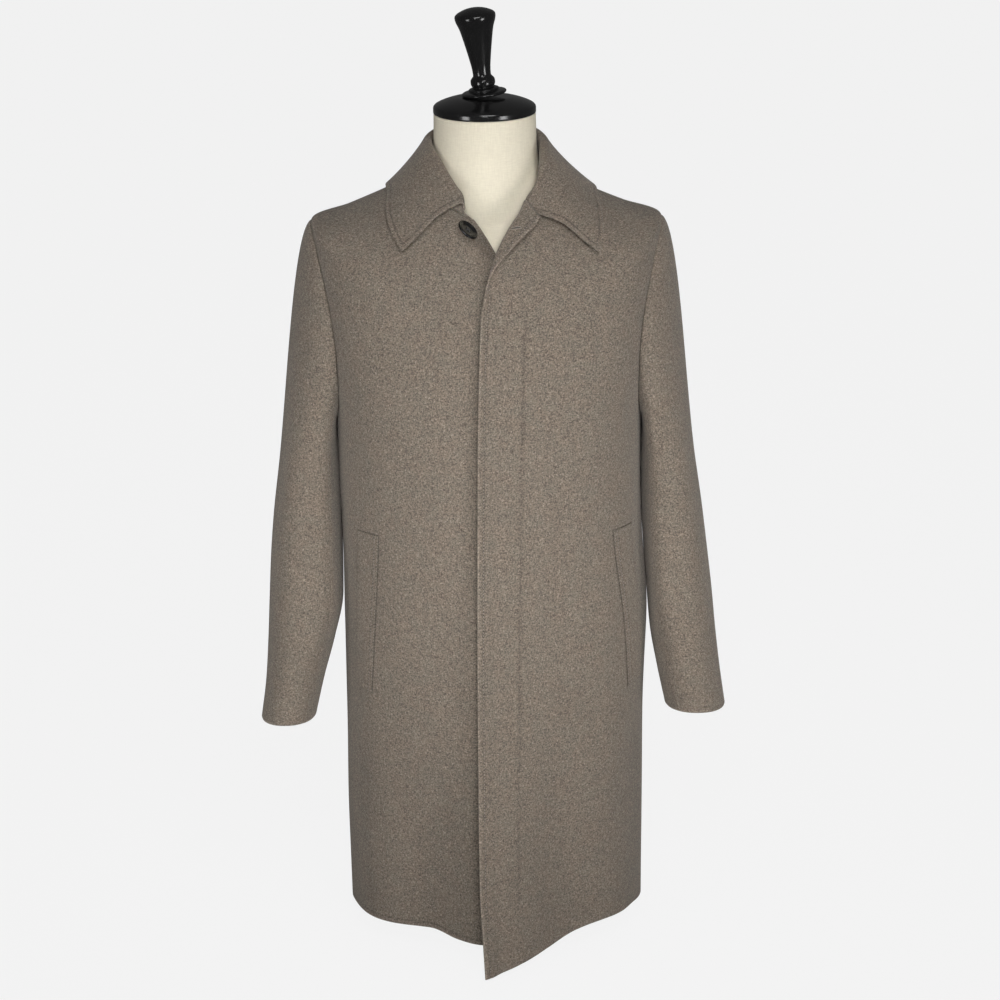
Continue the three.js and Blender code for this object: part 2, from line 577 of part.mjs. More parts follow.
// The dress form's torso and neck, in one skin from its bottom to the cap.
const TORSO_ROWS = 12;
const FORM_YOKE_ROWS = YOKE_ROWS;
const FORM_NECK_ROWS = 4;
const FORM_ROWS = TORSO_ROWS + FORM_YOKE_ROWS + FORM_NECK_ROWS;
function formPoint(angle, v) {
  const row = v * FORM_ROWS;
  if (row < TORSO_ROWS + 0.5) {
    const lowest = formRings[0].level;
    const highest = formRings[formRings.length - 1].level;
    return ringPoint(formRings, angle, lowest + ((highest - lowest) * row) / TORSO_ROWS);
  }
  const onYoke = (level) => {
    const skin = (a, b) => ringPoint(bodyRings, angle + (a - 0.5) * 0.1, level - 1 + b);
    const inFront = smoothstep(-Math.sin(angle), 0.35, 0.9) * smoothstep(level, 880, 940);
    const gap = FORM_GAP + FRONT_RECESS * inFront + NECK_RECESS * smoothstep(level, 945, NECK_LEVEL);
    return skin(0.5, 1).addScaledVector(normalAt(skin, 0.5, 1), -CLOTH - gap);
  };
  if (row < TORSO_ROWS + FORM_YOKE_ROWS + 0.5) {
    return onYoke(SHOULDER_LEVEL + ((NECK_LEVEL - SHOULDER_LEVEL) * (row - TORSO_ROWS)) / YOKE_ROWS);
  }
  const t = (row - TORSO_ROWS - FORM_YOKE_ROWS) / FORM_NECK_ROWS;
  const shoulder = onYoke(NECK_LEVEL);
  const neck = new THREE.Vector3(Math.cos(angle), Math.sin(angle), 0).multiplyScalar(NECK_RADIUS - 1.5 * t);
  const narrow = 1 - (1 - Math.min(t * 1.6, 1)) ** 2.5;
  const point = shoulder.clone().lerp(neck, narrow);
  point.z = shoulder.z + (CAP_Z - shoulder.z) * t ** 0.9;
  return point;
}

// Turned pieces are profiles of radius and height, spun round their own axis.
function turned(profile, segments) {
  return new THREE.LatheGeometry(
    profile.map(([radius, height]) => new THREE.Vector2(radius, height)),
    segments
  ).rotateX(Math.PI / 2);
}

const capProfile = [
  [0, 0.3],
  [60.5, 0.3],
  [62, 1.8],
  [62, 7],
  [60, 10],
  [50, 14.5],
  [38, 18],
  [29, 19.5],
  [0, 19.5],
];
const FINIAL_FOOT = 19.5;
const finialProfile = [
  [0, 0],
  [25.5, 0],
  [27, 2],
  [24.5, 3.8],
  [18, 5],
  [18.4, 6.4],
  [16, 8],
  [12.4, 9.4],
  [14.6, 13],
  [14.8, 17],
  [12.6, 20.5],
  [10.8, 23],
  [11, 29],
  [13.2, 44],
  [16.6, 62],
  [20.6, 80],
  [24.4, 92],
  [24.2, 95.5],
  [18, 100],
  [9, 103],
  [0, 104],
];

// The button: a dished disc with a rim and four holes.
const BUTTON_RADIUS = 14;
const BUTTON_HOLE_RADIUS = 1.1;
const BUTTON_HOLE_SPACING = 2.4;
const BUTTON_LEVEL = 958;
const BUTTON_FROM_EDGE = 20.5;
const BUTTON_LIFT = 4.6;
const BUTTON_AXIS = [0.62, -0.45, 0.645]; // it leans on its shank of thread
const buttonProfile = [
  [0, 0],
  [10.5, 0],
  [13.2, 1.1],
  [BUTTON_RADIUS, 2.6],
  [13.2, 3.9],
  [11.4, 4.1],
  [10, 2.9],
  [0, 2.5],
];

function manifoldOf(geometry) {
  const bare = geometry.clone();
  bare.deleteAttribute("normal");
  bare.deleteAttribute("uv");
  const merged = mergeVertices(bare, 1e-4);
  return new wasm.Manifold(
    new wasm.Mesh({
      numProp: 3,
      vertProperties: merged.attributes.position.array,
      triVerts: new Uint32Array(merged.index.array),
    })
  );
}

function geometryOf(manifold) {
  const mesh = manifold.getMesh();
  return meshGeometry(Array.from(mesh.vertProperties), Array.from(mesh.triVerts));
}

function buttonGeometry() {
  let button = manifoldOf(turned(buttonProfile, 32));
  for (const [x, y] of [[1, 1], [-1, 1], [-1, -1], [1, -1]]) {
    const hole = new THREE.CylinderGeometry(BUTTON_HOLE_RADIUS, BUTTON_HOLE_RADIUS, 12, 8)
      .rotateX(Math.PI / 2)
      .translate(x * BUTTON_HOLE_SPACING, y * BUTTON_HOLE_SPACING, 0);
    button = button.subtract(manifoldOf(hole));
  }
  return geometryOf(button);
}

// Materials, as in the photograph
const cloth = { color: 0x857a6e, roughness: 0.95, metalness: 0 };
const linen = { color: 0xd9d2bd, roughness: 0.85, metalness: 0 };
const lacquer = { color: 0x060606, roughness: 0.15, metalness: 0 };
const horn = { color: 0x0d0d10, roughness: 0.3, metalness: 0 };
const iron = { color: 0x2a2a2b, roughness: 0.5, metalness: 0.8 };

const coatOnForm = new THREE.Group();
const dressed = new THREE.Group();
dressed.position.y = -STAND_BACK;
coatOnForm.add(dressed);
function add(name, geometry, material, parent = dressed) {
  const mesh = new THREE.Mesh(geometry, new THREE.MeshStandardMaterial(material));
  mesh.name = name;
  parent.add(mesh);
  return mesh;
}

function addCoat() {
  add("front_right", clothWall(rightFront, 14, PANEL_ROWS, CLOTH, -1), cloth);
  add("front_left", clothWall(leftFront, 20, PANEL_ROWS, CLOTH, 1), cloth);
  add("back", clothWall(backPanel, 24, PANEL_ROWS, CLOTH, 1), cloth);
  for (const sleeve of sleeveSides) {
    const upper = sleevePiece(sleeve, HINDARM_SEAM_DEG - 360, FOREARM_SEAM_DEG, 14);
    const under = sleevePiece(sleeve, FOREARM_SEAM_DEG, HINDARM_SEAM_DEG, 8);
    add("sleeve_upper_" + sleeve.name, upper, cloth);
    add("sleeve_under_" + sleeve.name, under, cloth);
  }
  add("collar", clothWall((u, w) => collarPoint(u, w), 40, 9, COLLAR_CLOTH, -1), cloth);
  for (const pocket of pockets) {
    add("pocket_welt_" + pocket.name, clothWall(weltSurface(pocket), 4, 9, WELT_CLOTH, pocket.side), cloth);
  }
}

function addButton() {
  const share = (u) => rightFront(u, levelShare(BUTTON_LEVEL));
  let u = 0;
  while (share(0).x - share(u).x < BUTTON_FROM_EDGE) u += 0.002;
  const v = levelShare(BUTTON_LEVEL);
  const out = normalAt(rightFront, u, v).multiplyScalar(-1);
  const button = add("top_button", buttonGeometry(), horn);
  button.position.copy(rightFront(u, v)).addScaledVector(out, BUTTON_LIFT);
  const axis = new THREE.Vector3(...BUTTON_AXIS).normalize();
  button.quaternion.setFromUnitVectors(new THREE.Vector3(0, 0, 1), axis);
}

// The row share at which a panel reaches a yoke ring.
function levelShare(level) {
  const row = ((level - SHOULDER_LEVEL) / (NECK_LEVEL - SHOULDER_LEVEL)) * YOKE_ROWS;
  return (SKIRT_ROWS + ARMHOLE_ROWS + row) / PANEL_ROWS;
}

function addForm() {
  add("form_torso", ringSolid(formPoint, 32, FORM_ROWS), linen);
  add("neck_cap", turned(capProfile, 32), lacquer).position.z = CAP_Z;
  const finial = add("finial", turned(finialProfile, 28), lacquer);
  finial.position.z = CAP_Z + FINIAL_FOOT + SEAM + FINIAL_ROOM;
  finial.rotation.y = -radians(FINIAL_LEAN_DEG);
  const poleTop = TORSO_BOTTOM - SEAM;
  const pole = new THREE.CylinderGeometry(POLE_RADIUS, POLE_RADIUS, poleTop - BASE_HEIGHT - SEAM, 24);
  add("pole", pole.rotateX(Math.PI / 2), iron, coatOnForm).position.z = (poleTop + BASE_HEIGHT + SEAM) / 2;
  const baseProfile = [
    [0, 0],
    [BASE_RADIUS, 0],
    [BASE_RADIUS, 6],
    [BASE_RADIUS - 5, 9],
    [POLE_RADIUS + 8, BASE_HEIGHT],
    [0, BASE_HEIGHT],
  ];
  add("base", turned(baseProfile, 40), iron, coatOnForm);
}
// A leaning finial lowers one side of its foot by this much.
const FINIAL_ROOM = 26 * Math.sin(radians(FINIAL_LEAN_DEG));

addCoat();
addButton();
addForm();

export default coatOnForm;
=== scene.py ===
import math

import bpy
import numpy as np
from mathutils import Matrix, Vector


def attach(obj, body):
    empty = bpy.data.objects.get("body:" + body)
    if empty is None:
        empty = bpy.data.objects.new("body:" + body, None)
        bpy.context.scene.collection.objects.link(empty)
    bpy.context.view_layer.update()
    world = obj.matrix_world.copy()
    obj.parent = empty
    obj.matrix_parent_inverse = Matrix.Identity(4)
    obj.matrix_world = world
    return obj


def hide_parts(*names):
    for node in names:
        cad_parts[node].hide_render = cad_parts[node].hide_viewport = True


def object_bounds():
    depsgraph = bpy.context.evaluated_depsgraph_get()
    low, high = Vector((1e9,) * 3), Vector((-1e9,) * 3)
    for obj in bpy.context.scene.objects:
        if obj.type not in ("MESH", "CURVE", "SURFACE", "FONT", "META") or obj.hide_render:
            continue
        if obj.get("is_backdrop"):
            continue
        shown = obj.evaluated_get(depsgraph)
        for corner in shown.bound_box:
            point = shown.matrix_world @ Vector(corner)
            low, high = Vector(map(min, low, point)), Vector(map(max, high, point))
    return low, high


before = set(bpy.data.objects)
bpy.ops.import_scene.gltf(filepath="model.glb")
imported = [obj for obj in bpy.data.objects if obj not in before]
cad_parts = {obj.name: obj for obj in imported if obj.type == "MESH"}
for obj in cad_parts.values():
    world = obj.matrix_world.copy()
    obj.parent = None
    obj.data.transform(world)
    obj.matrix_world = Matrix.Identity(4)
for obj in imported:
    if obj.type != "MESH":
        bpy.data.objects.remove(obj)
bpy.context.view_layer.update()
scene = bpy.context.scene
scene.view_settings.view_transform = "Standard"
print("frame loaded")

# Camera, at the photo's angle
lensData = bpy.data.cameras.new("photo_view")
lensData.lens = 93.46
lensData.sensor_width = 36
camera = bpy.data.objects.new("photo_view", lensData)
scene.collection.objects.link(camera)
camera.matrix_world = (
    Matrix.Translation((0.012, -3.115, 1.685))
    @ Matrix.Rotation(math.radians(70.5), 4, "X")
    @ Matrix.Rotation(math.radians(-0.8), 4, "Z")
)
scene.camera = camera

standBack = np.array([0, 15, 0])
coat = {
    "cloth": 2.0,
    "seam": 0.06,
    "hem": 30,
    "armpit": 705,
    "shoulder": 880,
    "neck": 975,
    "armholeFront": 27,
    "armholeBack": 25,
    "lapLift": 3.2,
    "edgeCurl": 4.2,
    "lapEnd": 36,
    "lapFade": 44,
    "rollRadius": 3.5,
    "hemEase": 260,
    "swingDrop": 0.44,
    "rightRoll": 24,
    "rightRollWidth": 40,
    "rightRollFade": 0.6,
    "flapShare": 0.3,
}


def table(columns, *rows):
    # Rows of numbers as named columns.
    return dict(zip(columns.split(), np.array(rows, float).T))


# Rings round the body, each named by its height at the centre front.
bodyRings = table(
    "level zSide zBack half front back square sway",
    (30, 30, 32, 192.5, -143, 134, 1.82, 0),
    (150, 150, 150, 193, -143, 132, 1.9, 0),
    (300, 300, 300, 192.5, -143, 127, 2.0, 2),
    (440, 440, 440, 193.5, -144, 120, 2.12, 4.5),
    (560, 560, 560, 189.5, -146, 114, 2.2, 1),
    (650, 650, 650, 189.2, -148, 114, 2.3, 0),
    (705, 705, 705, 189.2, -149, 119, 2.4, 0),
    (760, 788, 775, 199, -148, 128, 2.45, 0),
    (820, 872, 850, 207.5, -144, 132, 2.42, 0),
    (880, 953, 930, 213.5, -134, 122, 2.24, 0),
    (905, 967, 958, 175, -126, 111, 2.16, 0),
    (930, 982.5, 982, 136, -117, 97, 2.1, 0),
    (955, 998, 1004, 99, -108, 81, 2.06, 0),
    (975, 1009, 1022, 71, -99, 66, 2.03, 0),
)
# Folds that grow towards the hem, at an angle round the body: 0 the wearer's left side, -90 the front.
folds = table(
    "at spread depth top",
    (-118, 17, -13, 620),
    (-98, 9, 5, 520),
    (-62, 12, -9, 560),
    (-34, 13, 4, 480),
    (-146, 12, 4, 460),
    (22, 13, -7, 500),
    (52, 14, 9, 640),
    (80, 11, -6, 560),
    (104, 12, 8, 600),
    (132, 14, -7, 520),
    (158, 12, 5, 470),
)
hemRise = table(
    "at rise",
    (-180, 0),
    (-158, 6),
    (-139, 7.5),
    (-121, 9),
    (-108, 1),
    (-95, 0),
    (-80, 0),
    (-66, -1.5),
    (-54, 5),
    (-40, 9),
    (-26, 8),
    (-8, 1),
    (40, -1),
    (90, 1),
    (140, -1),
    (180, 0),
)
rightEdge = table(
    "level x",
    (30, 26),
    (400, 30),
    (700, 31),
    (840, 29),
    (880, 25),
    (915, 22),
    (934, 14.5),
    (945, 8.5),
    (957, 0.9),
    (966, -6.3),
    (975, -15.8),
)
leftEdge = table(
    "level x flap slide turn",
    (30, -9, 6, 0, 0),
    (150, -14, 6, 0, 0),
    (370, -13, 6, 0, 0),
    (640, -9, 6, 0, 0),
    (764, -6, 6, 0, 0),
    (864, -1.5, 6, 0, 0),
    (886, 2, 6, 0, 30),
    (902, 4.8, 8, 0, 80),
    (917, 9.5, 12.5, 0, 122),
    (932, 15, 18, 0, 146),
    (942, 20, 21.5, 0, 154),
    (951, 25.5, 24.5, 0, 158),
    (960, 33, 27.5, 3, 160),
    (968, 43, 30, 9, 162),
    (975, 50, 28.5, 22, 163),
)
leftSwing = table(
    "level lift reach",
    (30, 52, 136),
    (150, 35, 122),
    (300, 19, 98),
    (500, 11, 86),
    (700, 6, 74),
    (860, 1.5, 60),
    (975, 0, 60),
)


def along(rows, column, at):
    # A smooth curve through one column over the first: cubic pieces whose slopes at the rows are
    # harmonic means, so it never overshoots.
    x, y = next(iter(rows.values())), rows[column]
    at = np.asarray(at, float)
    slope = np.diff(y) / np.diff(x)
    before, after = slope[:-1], slope[1:]
    same = before * after > 0
    inner = np.where(same, 2 * before * after / np.where(same, before + after, 1), 0)
    tangent = np.concatenate([slope[:1], inner, slope[-1:]])
    i = np.clip(np.searchsorted(x, at, side="right") - 1, 0, len(x) - 2)
    width = x[i + 1] - x[i]
    s = np.clip((at - x[i]) / width, 0, 1)
    rise = s * s * (3 - 2 * s)
    start = s * (1 - s) ** 2 * width * tangent[i]
    end = s * s * (s - 1) * width * tangent[i + 1]
    return y[i] * (1 - rise) + y[i + 1] * rise + start + end


def unit(vectors):
    return vectors / np.maximum(np.linalg.norm(vectors, axis=-1, keepdims=True), 1e-9)


def ease(x, low, high):
    t = np.clip((x - low) / (high - low), 0, 1)
    return t * t * (3 - 2 * t)


def bell(x, at, width, height):
    return height * np.exp(-(((x - at) / width) ** 2))


def scaled(vectors, amount):
    return vectors * np.asarray(amount)[..., None]


def bridge(start, end, leave, arrive, t):
    # A cubic from start to end that leaves and arrives along these vectors.
    rise = t * t * (3 - 2 * t)
    return start + scaled(end - start, rise) + scaled(leave, t * (1 - t) ** 2) + scaled(arrive, t * t * (t - 1))


def ringPoint(rings, angle, level):
    # A superellipse in plan whose height falls from the side to front and back with the 1.6th power of the sine.
    angle, level = np.broadcast_arrays(np.asarray(angle, float), np.asarray(level, float))
    c, s = np.cos(angle), np.sin(angle)
    power = 2 / along(rings, "square", level)
    side = along(rings, "zSide", level)
    middle = np.where(s < 0, level, along(rings, "zBack", level))
    reach = np.where(s < 0, -along(rings, "front", level), along(rings, "back", level))
    sway = along(rings, "sway", level) if "sway" in rings else 0
    x = sway + along(rings, "half", level) * np.sign(c) * np.abs(c) ** power
    y = reach * np.sign(s) * np.abs(s) ** power
    return np.stack([x, y, side + (middle - side) * np.abs(s) ** 1.6], -1)


def coatPoint(angle, level):
    # The coat's outer surface: the ring, pushed outwards by bell-shaped folds and a faint ripple,
    # with the hem's rise.
    angle, level = np.broadcast_arrays(np.asarray(angle, float), np.asarray(level, float))
    point = ringPoint(bodyRings, angle, level)
    push = np.zeros_like(angle)
    for at, spread, depth, top in zip(*folds.values()):
        turn = np.arctan2(np.sin(angle - math.radians(at)), np.cos(angle - math.radians(at)))
        low = np.clip((top - level) / (top - coat["hem"]), 0, 1)
        push = push + bell(turn, 0, math.radians(spread), depth) * low**1.4
    push = push + ripple(angle, level)
    point[..., 0] += push * np.cos(angle)
    point[..., 1] += push * np.sin(angle)
    degrees = np.degrees(np.arctan2(np.sin(angle), np.cos(angle)))
    near = np.clip((coat["hemEase"] - level) / (coat["hemEase"] - coat["hem"]), 0, 1)
    point[..., 2] += near**2 * along(hemRise, "rise", degrees)
    return point


def ripple(angle, level):
    # Soft unevenness of hung cloth: three crossed sines of angle and level, gone above the armhole.
    wave = (
        0.55 * np.sin(5 * angle + level / 61)
        + 0.4 * np.sin(9 * angle - level / 43 + 1.3)
        + 0.3 * np.sin(14 * angle + level / 97 + 2.1)
    )
    return wave * (1 - ease(level, 560, 840))


def frontAngle(x, level):
    # The angle at which the front's surface lies x across: the superellipse solved for its cosine.
    half = along(bodyRings, "half", level)
    square = along(bodyRings, "square", level)
    across = x - along(bodyRings, "sway", level)
    return -np.arccos(np.clip(np.sign(across) * (np.abs(across) / half) ** (square / 2), -1, 1))


armholeMiddle = (coat["armpit"] + coat["shoulder"]) / 2
armholeReach = (coat["shoulder"] - coat["armpit"]) / 2


def armholePoint(turn, scale=1.0):
    # The armhole: an ellipse in angle and level, turn 0 at the shoulder and pi at the underarm.
    wide = np.where(np.sin(turn) > 0, -coat["armholeFront"], -coat["armholeBack"])
    return coatPoint(np.radians(wide) * np.sin(turn) * scale, armholeMiddle + armholeReach * np.cos(turn) * scale)


def armholeAngle(level, widest):
    share = np.clip((level - armholeMiddle) / armholeReach, -1, 1)
    return math.radians(widest) * np.sqrt(1 - share * share)


def seamAngle(level):
    return coat["seam"] / 2 / along(bodyRings, "half", level)


def frontEnd(side, level):
    # The angle of a front's side seam, which follows the armhole's ellipse.
    angle = -armholeAngle(level, coat["armholeFront"]) - seamAngle(level)
    return angle if side > 0 else -math.pi - angle


def coatNormal(angle, level, low=1, high=1):
    across = coatPoint(angle + 0.004, level) - coatPoint(angle - 0.004, level)
    up = coatPoint(angle, level + high) - coatPoint(angle, level - low)
    return unit(np.cross(across, up))


def rightRollDepth(fromEdge, level):
    near = np.clip(1 - fromEdge / coat["rightRollWidth"], 0, 1)
    return coat["rightRoll"] * near**2 * ease(level, 880, 962) * (1 - coat["rightRollFade"] * ease(level, 950, 975))


def rightFront(u, level):
    # The right front, whose top rolls inwards near its edge with the square of the nearness.
    edge = along(rightEdge, "x", level)
    start = frontAngle(edge, level)
    angle = start + (frontEnd(-1, level) - start) * u
    point = coatPoint(angle, level)
    return point - scaled(coatNormal(angle, level - 1), rightRollDepth(edge - point[..., 0], level))


def leftPanel(share, level):
    # The left front from its roll line outwards, lifted over the right and swung forward near its edge.
    edge = along(leftEdge, "x", level)
    start = frontAngle(edge, level)
    point = coatPoint(start + (frontEnd(1, level) - start) * share, level)
    lap = coat["lapLift"] * (1 - ease(point[..., 0], coat["lapEnd"], coat["lapEnd"] + coat["lapFade"]))
    reach = along(leftSwing, "reach", level)
    away = (point[..., 0] - edge + reach / 3) / (reach * 4 / 3)
    swing = along(leftSwing, "lift", level) * (1 - ease(away, 0, 1))
    curl = coat["edgeCurl"] * (1 - ease(point[..., 0] - edge, 0, 18)) * (1 - ease(level, 890, 925))
    point[..., 1] -= lap + swing + curl
    low = np.clip((coat["hemEase"] - level) / (coat["hemEase"] - coat["hem"]), 0, 1)
    point[..., 2] -= coat["swingDrop"] * swing * low
    return point


def leftFront(u, level):
    # The left front whole. Beyond the roll line it bends round rollRadius by the table's turn, then runs straight.
    panel = leftPanel(np.maximum((u - coat["flapShare"]) / (1 - coat["flapShare"]), 0), level)
    share = np.clip(1 - u / coat["flapShare"], 0, 1)
    zero = np.zeros_like(share)
    fold = leftPanel(zero, level)
    outward = unit(fold - leftPanel(zero + 0.02, level))
    higher = np.minimum(level + 2, coat["neck"])
    roll = unit(leftPanel(zero, higher) - leftPanel(zero, higher - 4))
    normal = unit(np.cross(roll, outward))
    across = np.cross(normal, roll)
    onward = along(leftEdge, "flap", level) * share
    radius = coat["rollRadius"]
    bend = np.minimum(np.radians(along(leftEdge, "turn", level)), onward / radius)
    beyond = onward - bend * radius
    flat = radius * np.sin(bend) + beyond * np.cos(bend)
    raised = radius * (1 - np.cos(bend)) + beyond * np.sin(bend)
    slide = along(leftEdge, "slide", level) * share
    flap = fold - scaled(roll, slide) + scaled(across, flat) + scaled(normal, raised)
    return np.where((u >= coat["flapShare"])[..., None], panel, flap)


def backPanel(u, level):
    # The back: the coat's outer surface from the left armhole or side seam round to the right one.
    start = armholeAngle(level, coat["armholeBack"]) + seamAngle(level)
    return coatPoint(start + (math.pi - 2 * start) * u, level)


# Sleeves: rings from the underarm to the cuff
sleeveRings = table(
    "part middle deep tilt innerLeft outerLeft innerRight outerRight",
    (0, 8, 76, 0, 189.9, 259, 189.7, 266),
    (0.2, 4, 75, 0.01, 191, 268, 189.2, 275),
    (0.36, -3, 73, 0.03, 193.7, 274, 189.1, 280),
    (0.53, -12, 70, 0.06, 197.4, 280, 189.9, 283.5),
    (0.69, -22, 66.5, 0.1, 201.3, 284.5, 201, 286.5),
    (0.85, -33, 62, 0.13, 210, 290, 216, 290.5),
    (1, -45, 58, 0.15, 220, 296.5, 228, 297.5),
)
sleeveTop = 640
capShare = 0.45
sleeves = [
    {"name": "left", "side": 1, "cuff": 326, "inner": "innerLeft", "outer": "outerLeft"},
    {"name": "right", "side": -1, "cuff": 316, "inner": "innerRight", "outer": "outerRight"},
]


def sleeveRing(turn, part, sleeve):
    # A flattened ring of the sleeve, tilted so that its front is higher, its inner side flatter beside the body.
    inner = along(sleeveRings, sleeve["inner"], part)
    half = (along(sleeveRings, sleeve["outer"], part) - inner) / 2
    deep = along(sleeveRings, "deep", part)
    c, s = np.cos(turn), np.sin(turn)
    flat = 0.42 * (c < 0) * (1 - ease(part, 0.5, 0.75))
    x = inner + half + half * np.sign(c) * np.abs(c) ** (0.92 - flat)
    y = along(sleeveRings, "middle", part) - deep * np.sign(s) * np.abs(s) ** 0.92
    z = sleeveTop + (sleeve["cuff"] - sleeveTop) * part + along(sleeveRings, "tilt", part) * deep * s
    return np.stack([x, y, z], -1)


def sleevePoint(turn, s, sleeve):
    # A cubic from the armhole, leaving outwards and down, to the first ring, then the rings.
    turn, s = np.broadcast_arrays(turn, s)
    below = sleeveRing(turn, np.clip((s - capShare) / (1 - capShare), 0, 1), sleeve)
    t = np.clip(s / capShare, 0, 1) ** 1.2
    start = armholePoint(turn)
    start = start + 0.1 * unit(armholePoint(turn, 0.97) - start)
    end = sleeveRing(turn, np.zeros_like(turn), sleeve)
    top = (1 + np.cos(turn)) / 2
    leave = np.stack(
        [14 + 54 * top, -18 * np.sin(turn), -22 - 45 * np.sin(turn) ** 2 + 32 * (1 - top) ** 3], -1
    )
    arrive = unit(sleeveRing(turn, np.full_like(turn, 0.05), sleeve) - end)
    arrive = scaled(arrive, 0.9 * np.linalg.norm(end - start, axis=-1))
    return np.where((s > capShare)[..., None], below, bridge(start, end, leave, arrive, t))


# The collar, from the centre back (part 0) to its front end (part 1)
collarSections = table(
    "part stand face turn rest",
    (0, 38, 90, 150, 3.4),
    (0.22, 38, 56, 150, 3.4),
    (0.42, 39.5, 14, 150, 3.4),
    (0.56, 39, -8, 148, 3.6),
    (0.72, 29, -16, 138, 4),
    (0.88, 15, -14, 122, 6.2),
    (1, 5.5, -10, 108, 8.2),
)
collarLeft = table(
    "part seam edge level lean",
    (0, 90, 90, 928, 0),
    (0.22, 56, 54, 929, -1),
    (0.42, 14, 19, 934, -4),
    (0.56, -11, -6, 932, -2),
    (0.72, -27, -21, 924, 2.5),
    (0.88, -41, -36, 910, 5),
    (1, -52, -45.8, 899, 3),
)
collarRight = table(
    "part seam edge level lean",
    (0, 90, 90, 928, 0),
    (0.22, 56, 54, 930, -1),
    (0.42, 14, 19, 939, -4),
    (0.56, -14, -8, 942, -6.5),
    (0.72, -34, -24, 935, -12),
    (0.88, -53, -40.5, 925, -13),
    (1, -66, -53, 916, -3),
)
# How far the collar's ends reach past a straight cut, from the seam (across 0) to the outer edge (1).
collarEnd = table(
    "across left right",
    (0, -7, 13),
    (0.22, -6, -3),
    (0.48, -3, -6.5),
    (0.6, 12.5, -6),
    (0.65, 9.5, -7.8),
    (0.72, 3, -8.5),
    (0.8, -2, -6.5),
    (0.9, -1.5, -3),
    (1, 0, 0),
)
collar = {"cloth": 2.4, "roll": 3.6, "tighten": 1.05, "stand": 2 / 9, "bend": 3 / 9, "inset": 6}


def collarSection(part, w, ends):
    # One side's section: up the stand, round the roll, then a cubic down the fall to its outer edge.
    def at(column):
        return along(collarSections, column, part)

    roll = collar["roll"] - collar["tighten"] * ease(part, 0.85, 1)
    edgeTurn = np.radians(along(ends, "edge", part))
    edgeLevel = along(ends, "level", part)
    rollTurn = np.radians(at("turn"))
    foot = ringPoint(bodyRings, np.radians(along(ends, "seam", part)), np.full_like(part, coat["neck"]))
    foot[..., 2] += coat["seam"] + 0.3
    face = np.radians(at("face"))
    outward = np.stack([np.cos(face), np.sin(face), 0 * face], -1)
    up = np.broadcast_to(np.array([0, 0, 1.0]), foot.shape)
    lean = along(ends, "lean", part) + roll
    top = foot + scaled(outward, lean) + scaled(up, at("stand") - roll)
    rollStart = top - scaled(outward, roll)
    standing = foot + scaled(rollStart - foot, np.clip(w / collar["stand"], 0, 1))
    turn = np.clip((w - collar["stand"]) / collar["bend"], 0, 1) * rollTurn
    rolling = top - scaled(outward, roll * np.cos(turn)) + scaled(up, roll * np.sin(turn))
    t = np.clip((w - collar["stand"] - collar["bend"]) / (1 - collar["stand"] - collar["bend"]), 0, 1)
    edge = coatPoint(edgeTurn, edgeLevel) + scaled(coatNormal(edgeTurn, edgeLevel, 0, 2), at("rest"))
    reach = np.linalg.norm(edge - rolling, axis=-1)
    leave = scaled(outward, np.sin(rollTurn)) + scaled(up, np.cos(rollTurn))
    leave = scaled(leave, 0.7 * reach)
    arrive = edge - rolling
    arrive[..., 2] *= 0.75
    point = np.where((w <= collar["stand"])[..., None], standing, rolling)
    falling = bridge(rolling, edge, leave, arrive, t)
    return np.where((w > collar["stand"] + collar["bend"])[..., None], falling, point)


def collarSide(part, w, ends, name):
    # The section, slid along the collar near its front end so that the end's edge is curved.
    last = np.ones_like(part)
    onward = unit(collarSection(last, w, ends) - collarSection(0.95 * last, w, ends))
    return collarSection(part, w, ends) + scaled(onward, along(collarEnd, name, w) * ease(part, 0.7, 1))


def collarPoint(v, w):
    # The whole collar: part is |2v - 1|, the wearer's right side below v 0.5 and the left side above it.
    v, w = np.broadcast_arrays(v, w)
    part = np.abs(2 * v - 1)
    left = collarSide(part, w, collarLeft, "left")
    right = collarSide(part, w, collarRight, "right") * np.array([-1, 1, 1])
    # The right end's seam sinks with the rolled neckline below it.
    neck = np.full(right.shape[:-1], float(coat["neck"]))
    sink = rightRollDepth(rightEdge["x"][-1] - right[..., 0], neck) * (1 - ease(w, 0, 0.3)) * ease(part, 0.6, 0.9)
    right = right - scaled(coatNormal(frontAngle(np.minimum(right[..., 0], 0), neck), neck - 1), sink)
    return np.where((v < 0.5)[..., None], right, left)


# Grids and meshes
def clustered(count, share=0.85):
    # Steps from 0 to 1, closer together at both ends.
    t = np.linspace(0, 1, count + 1)
    return (1 - share) * t + share * (1 - np.cos(np.pi * t)) / 2


def panelLevels():
    skirt = coat["hem"] + (coat["armpit"] - coat["hem"]) * clustered(170, 0.7)
    armhole = armholeMiddle - armholeReach * np.cos(np.linspace(0, np.pi, 57))
    yoke = coat["shoulder"] + (coat["neck"] - coat["shoulder"]) * clustered(34, 0.5)
    return np.concatenate([skirt, armhole[1:], yoke[1:]])


def gridNormals(points, facing):
    # The cross product of the grid's two directions, averaged from neighbours.
    across, up = np.gradient(points, axis=1), np.gradient(points, axis=0)
    return facing * unit(np.cross(across, up))


def edgeDistances(points):
    # Millimetres from each of the grid's four edges, along its own rows and columns.
    across = np.linalg.norm(np.diff(points, axis=1), axis=-1)
    up = np.linalg.norm(np.diff(points, axis=0), axis=-1)
    left = np.concatenate([np.zeros((len(points), 1)), np.cumsum(across, 1)], 1)
    bottom = np.concatenate([np.zeros((1, points.shape[1])), np.cumsum(up, 0)], 0)
    return {"left": left, "right": left[:, -1:] - left, "bottom": bottom, "top": bottom[-1:] - bottom}


def nearest(distance, *sides):
    return np.minimum.reduce([distance[side] for side in sides])


